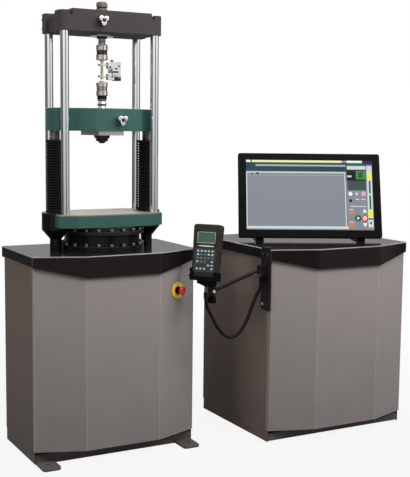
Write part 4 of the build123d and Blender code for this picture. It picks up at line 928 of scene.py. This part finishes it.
for row, keys in enumerate(KEY_ROWS):
    for column, kind in enumerate(keys):
        spot = ((column - 2) * KEY_ACROSS, KEY_TOP - row * KEY_DOWN, KEY_LIFT)
        face.block(KEY_SIZE, handset_place @ Matrix.Translation(spot), KEY_ROUND, KEY_TINTS[kind])
face_finishes = (case_plastic, pale_frame, bolt_steel, key_white, key_teal)
handset_face = face.done("handset_face", "handset_holder", *face_finishes)

# Cord: a black sheathed lead that leaves the gland beside the arm end, hangs in one loop and rises,
# through a ribbed sleeve, into the gland on the bracket.
cord_rubber = moulded(
    "cord_rubber", ink(10, 9, 9), ink(28, 26, 25), 0.5, 60.0, 4.0, grain=0.3, Specular_IOR_Level=0.06
)
CORD_ROUTE = [
    (0.357, -0.336, 0.702),
    (0.357, -0.336, 0.688),
    (0.362, -0.335, 0.666),
    (0.386, -0.334, 0.622),
    (0.413, -0.333, 0.573),
    (0.447, -0.332, 0.531),
    (0.486, -0.331, 0.511),
    (0.523, -0.330, 0.521),
    (0.556, -0.328, 0.553),
    (0.584, -0.327, 0.600),
    (0.604, -0.325, 0.648),
    (0.626, -0.324, 0.697),
    (0.652, -0.322, 0.735),
    (0.652, -0.322, 0.752),
]
CORD_RADIUS = 0.0085
CORD_SHRINK = 0.0008
CORD_STEPS = 400
CORD_SIDES = 14
RIB_PITCH = 0.006
RIB_HEIGHT = 0.0006
RIB_SHRINK = 0.0004
RIB_FROM = 0.56
RIB_STOP = 0.004
route = bpy.data.curves.new("cord_route", "CURVE")
route.dimensions = "3D"
route.resolution_u = 24
spline = route.splines.new("NURBS")
spline.points.add(len(CORD_ROUTE) - 1)
for point, spot in zip(spline.points, CORD_ROUTE):
    point.co = (*spot, 1.0)
spline.order_u = 3
spline.use_endpoint_u = True
route_object = add("cord_route", route)
bpy.context.view_layer.update()
line_mesh = bpy.data.meshes.new_from_object(route_object)
line = [v.co.copy() for v in line_mesh.vertices]
bpy.data.objects.remove(route_object)
lengths = [0.0]
for here, there in zip(line, line[1:]):
    lengths.append(lengths[-1] + (there - here).length)
cord_length = lengths[-1]
sheath = Workpiece()
rows = []
for step in range(CORD_STEPS + 1):
    run = cord_length * step / CORD_STEPS
    index = min(max(i for i, d in enumerate(lengths) if d <= run), len(line) - 2)
    share = (run - lengths[index]) / (lengths[index + 1] - lengths[index])
    spot = line[index].lerp(line[index + 1], share)
    way = (line[index + 1] - line[index]).normalized()
    flat = Vector((0, 1, 0)) - way * way.y
    flat.normalize()
    over = way.cross(flat)
    swell = -CORD_SHRINK
    if RIB_FROM * cord_length < run < cord_length - RIB_STOP:
        swell = RIB_HEIGHT * math.cos(2 * math.pi * run / RIB_PITCH) - RIB_SHRINK
    row = []
    for k in range(CORD_SIDES):
        turn = 2 * math.pi * k / CORD_SIDES
        spoke = flat * math.cos(turn) + over * math.sin(turn)
        row.append(sheath.bits.verts.new(spot + spoke * (CORD_RADIUS + swell)))
    rows.append(row)
for row, following in zip(rows, rows[1:]):
    for k in range(CORD_SIDES):
        after = (k + 1) % CORD_SIDES
        sheath.bits.faces.new((row[k], row[after], following[after], following[k]))
sheath.bits.faces.new(rows[0][::-1])
sheath.bits.faces.new(rows[-1])
lead = sheath.done("handset_lead", None, cord_rubber, sharp=60)
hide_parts("cord")
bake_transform(lead)

# Display: a flat black monitor leaning back on two hinged feet. The lit screen shows a plain test
# window: title bars, an empty grey chart, and a column of round buttons and a level gauge.
dress(black_plastic, "display", "display_feet")
DISPLAY_TURN = math.radians(-26.5)
DISPLAY_LEAN = math.radians(18.5)
DISPLAY_FOOT = Vector((1.0356, -0.163, 0.9284))
SCREEN_WIDTH = 0.630
SCREEN_HEIGHT = 0.355
SCREEN_FOOT = 0.039
SCREEN_GLOW = 0.85
SCREEN_TINTS = {
    "grey": ink(134, 139, 149),
    "pale": ink(206, 218, 222),
    "yellow": ink(238, 236, 178),
    "teal": ink(30, 62, 66),
    "sky": ink(156, 178, 184),
    "slate": ink(72, 72, 78),
    "black": ink(12, 14, 14),
    "green": ink(64, 150, 60),
    "white": ink(244, 246, 246),
    "pink": ink(226, 168, 206),
    "tan": ink(196, 132, 104),
    "red": ink(206, 52, 44),
    "leaf": ink(34, 96, 56),
    "lemon": ink(236, 240, 72),
    "navy": ink(26, 32, 78),
}
display_place = axes(*leaning(DISPLAY_TURN, DISPLAY_LEAN), DISPLAY_FOOT)


def lit(name, tint):
    """A patch of the screen: dark glass that glows in the patch's own colour."""
    finish = Finish("screen_" + name, Emission_Strength=SCREEN_GLOW, Specular_IOR_Level=0.1)
    pixels = finish.noise(700.0, 1.0)
    finish.surface(finish.mix(pixels, dim(tint, 0.12), dim(tint, 0.14)), 0.3)
    finish.feed(finish.shader.inputs["Emission Color"], finish.mix(pixels, dim(tint, 0.94), tint))
    return finish


patch_finishes = [lit(name, tint) for name, tint in SCREEN_TINTS.items()]
patch_order = list(SCREEN_TINTS)
screen = Workpiece()


def on_screen(across, down, lift):
    """A point of the screen: shares of its width from the left and its height from the top."""
    local = Vector(((across - 0.5) * SCREEN_WIDTH, SCREEN_FOOT + (1 - down) * SCREEN_HEIGHT, lift))
    return display_place @ local


def tile(name, left, top, right, bottom, lift):
    """A flat patch of the picture."""
    spots = ((left, bottom), (right, bottom), (right, top), (left, top))
    corners = [on_screen(across, down, lift) for across, down in spots]
    screen.faces(corners, [(0, 1, 2, 3)], patch_order.index(name))


def dot(name, across, down, size, lift, sides=20, start=0.0):
    """A round patch, or a pointed one with few sides."""
    corners = []
    for step in range(sides):
        turn = start + 2 * math.pi * step / sides
        wide = size / SCREEN_WIDTH * math.cos(turn)
        tall = size / SCREEN_HEIGHT * math.sin(turn)
        corners.append(on_screen(across + wide, down - tall, lift))
    screen.faces(corners, [tuple(range(sides))], patch_order.index(name))


SHEET = 0.0003
PANE = 0.0005
MARK = 0.0007
TOP_MARK = 0.0009
POINT_UP = math.pi / 2
POINT_DOWN = -math.pi / 2
SQUARE_ON = math.pi / 4
tile("grey", 0.0, 0.0, 1.0, 1.0, SHEET)
tile("teal", 0.0, 0.0, 0.80, 0.16, PANE)
tile("yellow", 0.045, 0.0, 0.76, 0.032, MARK)
tile("white", 0.0, 0.0, 0.035, 0.032, MARK)
tile("sky", 0.075, 0.062, 0.79, 0.088, MARK)
tile("pale", 0.0, 0.168, 0.785, 0.185, PANE)
tile("sky", 0.0, 0.215, 0.785, 0.222, PANE)
tile("pale", 0.0, 0.95, 0.80, 0.985, PANE)
tile("pale", 0.0, 0.18, 0.008, 0.985, PANE)
tile("pale", 0.778, 0.18, 0.785, 0.95, PANE)
dot("black", 0.045, 0.205, 0.007, MARK, 3, POINT_UP)
dot("black", 0.09, 0.195, 0.007, MARK, 5)
tile("white", 0.765, 0.0, 0.92, 0.03, PANE)
tile("navy", 0.925, 0.0, 1.0, 0.055, PANE)
tile("leaf", 0.80, 0.035, 0.955, 0.07, PANE)
tile("pale", 0.80, 0.08, 0.945, 0.125, PANE)
tile("black", 0.795, 0.135, 0.948, 0.29, PANE)
tile("green", 0.87, 0.15, 0.945, 0.27, MARK)
tile("leaf", 0.885, 0.165, 0.925, 0.25, TOP_MARK)
tile("pale", 0.80, 0.215, 0.835, 0.24, MARK)
tile("slate", 0.80, 0.29, 0.948, 0.43, PANE)
tile("leaf", 0.85, 0.37, 0.94, 0.42, MARK)
dot("white", 0.822, 0.48, 0.011, PANE, 6)
dot("pale", 0.872, 0.48, 0.011, PANE, 3, POINT_DOWN)
dot("pink", 0.926, 0.48, 0.012, PANE)
dot("black", 0.822, 0.58, 0.008, PANE)
tile("white", 0.862, 0.555, 0.888, 0.565, PANE)
tile("yellow", 0.905, 0.555, 0.94, 0.565, PANE)
tile("pale", 0.82, 0.655, 0.945, 0.667, PANE)
for down in (0.745, 0.925):
    dot("white", 0.826, down - 0.01, 0.013, PANE)
    dot("tan", 0.826, down, 0.014, MARK)
dot("white", 0.93, 0.73, 0.013, PANE, 3, POINT_UP)
dot("white", 0.93, 0.92, 0.013, PANE, 3, POINT_DOWN)
dot("leaf", 0.876, 0.83, 0.016, PANE)
dot("white", 0.877, 0.83, 0.009, MARK, 3)
dot("red", 0.930, 0.83, 0.016, PANE)
dot("white", 0.930, 0.83, 0.010, MARK)
dot("red", 0.930, 0.83, 0.005, TOP_MARK, 4, SQUARE_ON)
tile("pale", 0.956, 0.08, 0.996, 0.96, PANE)
tile("leaf", 0.970, 0.29, 0.984, 0.47, MARK)
tile("leaf", 0.970, 0.50, 0.984, 0.70, MARK)
tile("lemon", 0.958, 0.17, 0.994, 0.28, MARK)
tile("lemon", 0.958, 0.71, 0.994, 0.82, MARK)
tile("teal", 0.958, 0.83, 0.994, 0.85, MARK)
dot("leaf", 0.976, 0.90, 0.007, MARK, 4, SQUARE_ON)
screen_picture = screen.done("screen_picture", "display", *patch_finishes)
glass_black = Finish("glass_black", Base_Color=ink(10, 11, 12))
glass_black.surface(None, 0.08 + 0.05 * glass_black.noise(9.0, 3.0))
dress(glass_black, "display_screen")

# Display back: a mounting plate held by four screws on the shallow rear bulge, and above it five rows of
# small vents on either side.
BULGE_BACK = -0.046
PLATE_MIDDLE = 0.215
PLATE_SIZE = (0.13, 0.13, 0.004)
PLATE_LIFT = 0.001
PLATE_ROUND = 0.001
PLATE_SCREW = 0.05
PLATE_SCREW_LIFT = 0.003
VENT_SIZE = (0.018, 0.003, 0.0016)
VENT_ROUND = 0.0004
VENT_LIFT = 0.0004
VENT_ROWS = 5
VENT_COLUMNS = 14
VENT_ACROSS = 0.024
VENT_DOWN = 0.008
VENT_TOP = 0.10
PLAIN_MIDDLE = 3
half_turn = Matrix.Rotation(math.pi, 4, "Y")
back_place = display_place @ Matrix.Translation((0, PLATE_MIDDLE, BULGE_BACK)) @ half_turn
back = Workpiece()
back.block(PLATE_SIZE, back_place @ Matrix.Translation((0, 0, PLATE_LIFT)), PLATE_ROUND)
for sx, sy in CORNERS:
    spot = (sx * PLATE_SCREW, sy * PLATE_SCREW, PLATE_SCREW_LIFT)
    back.turn(PAN_HEAD, back_place @ Matrix.Translation(spot), SCREW_SIDES, 1)
for row in range(VENT_ROWS):
    for column in range(VENT_COLUMNS):
        from_middle = column - (VENT_COLUMNS - 1) / 2
        spot = (from_middle * VENT_ACROSS, VENT_TOP - row * VENT_DOWN, VENT_LIFT)
        if abs(from_middle) > PLAIN_MIDDLE:
            back.block(VENT_SIZE, back_place @ Matrix.Translation(spot), VENT_ROUND, 1)
display_back = back.done("display_back", "display", black_plastic, screw_black)

low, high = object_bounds()
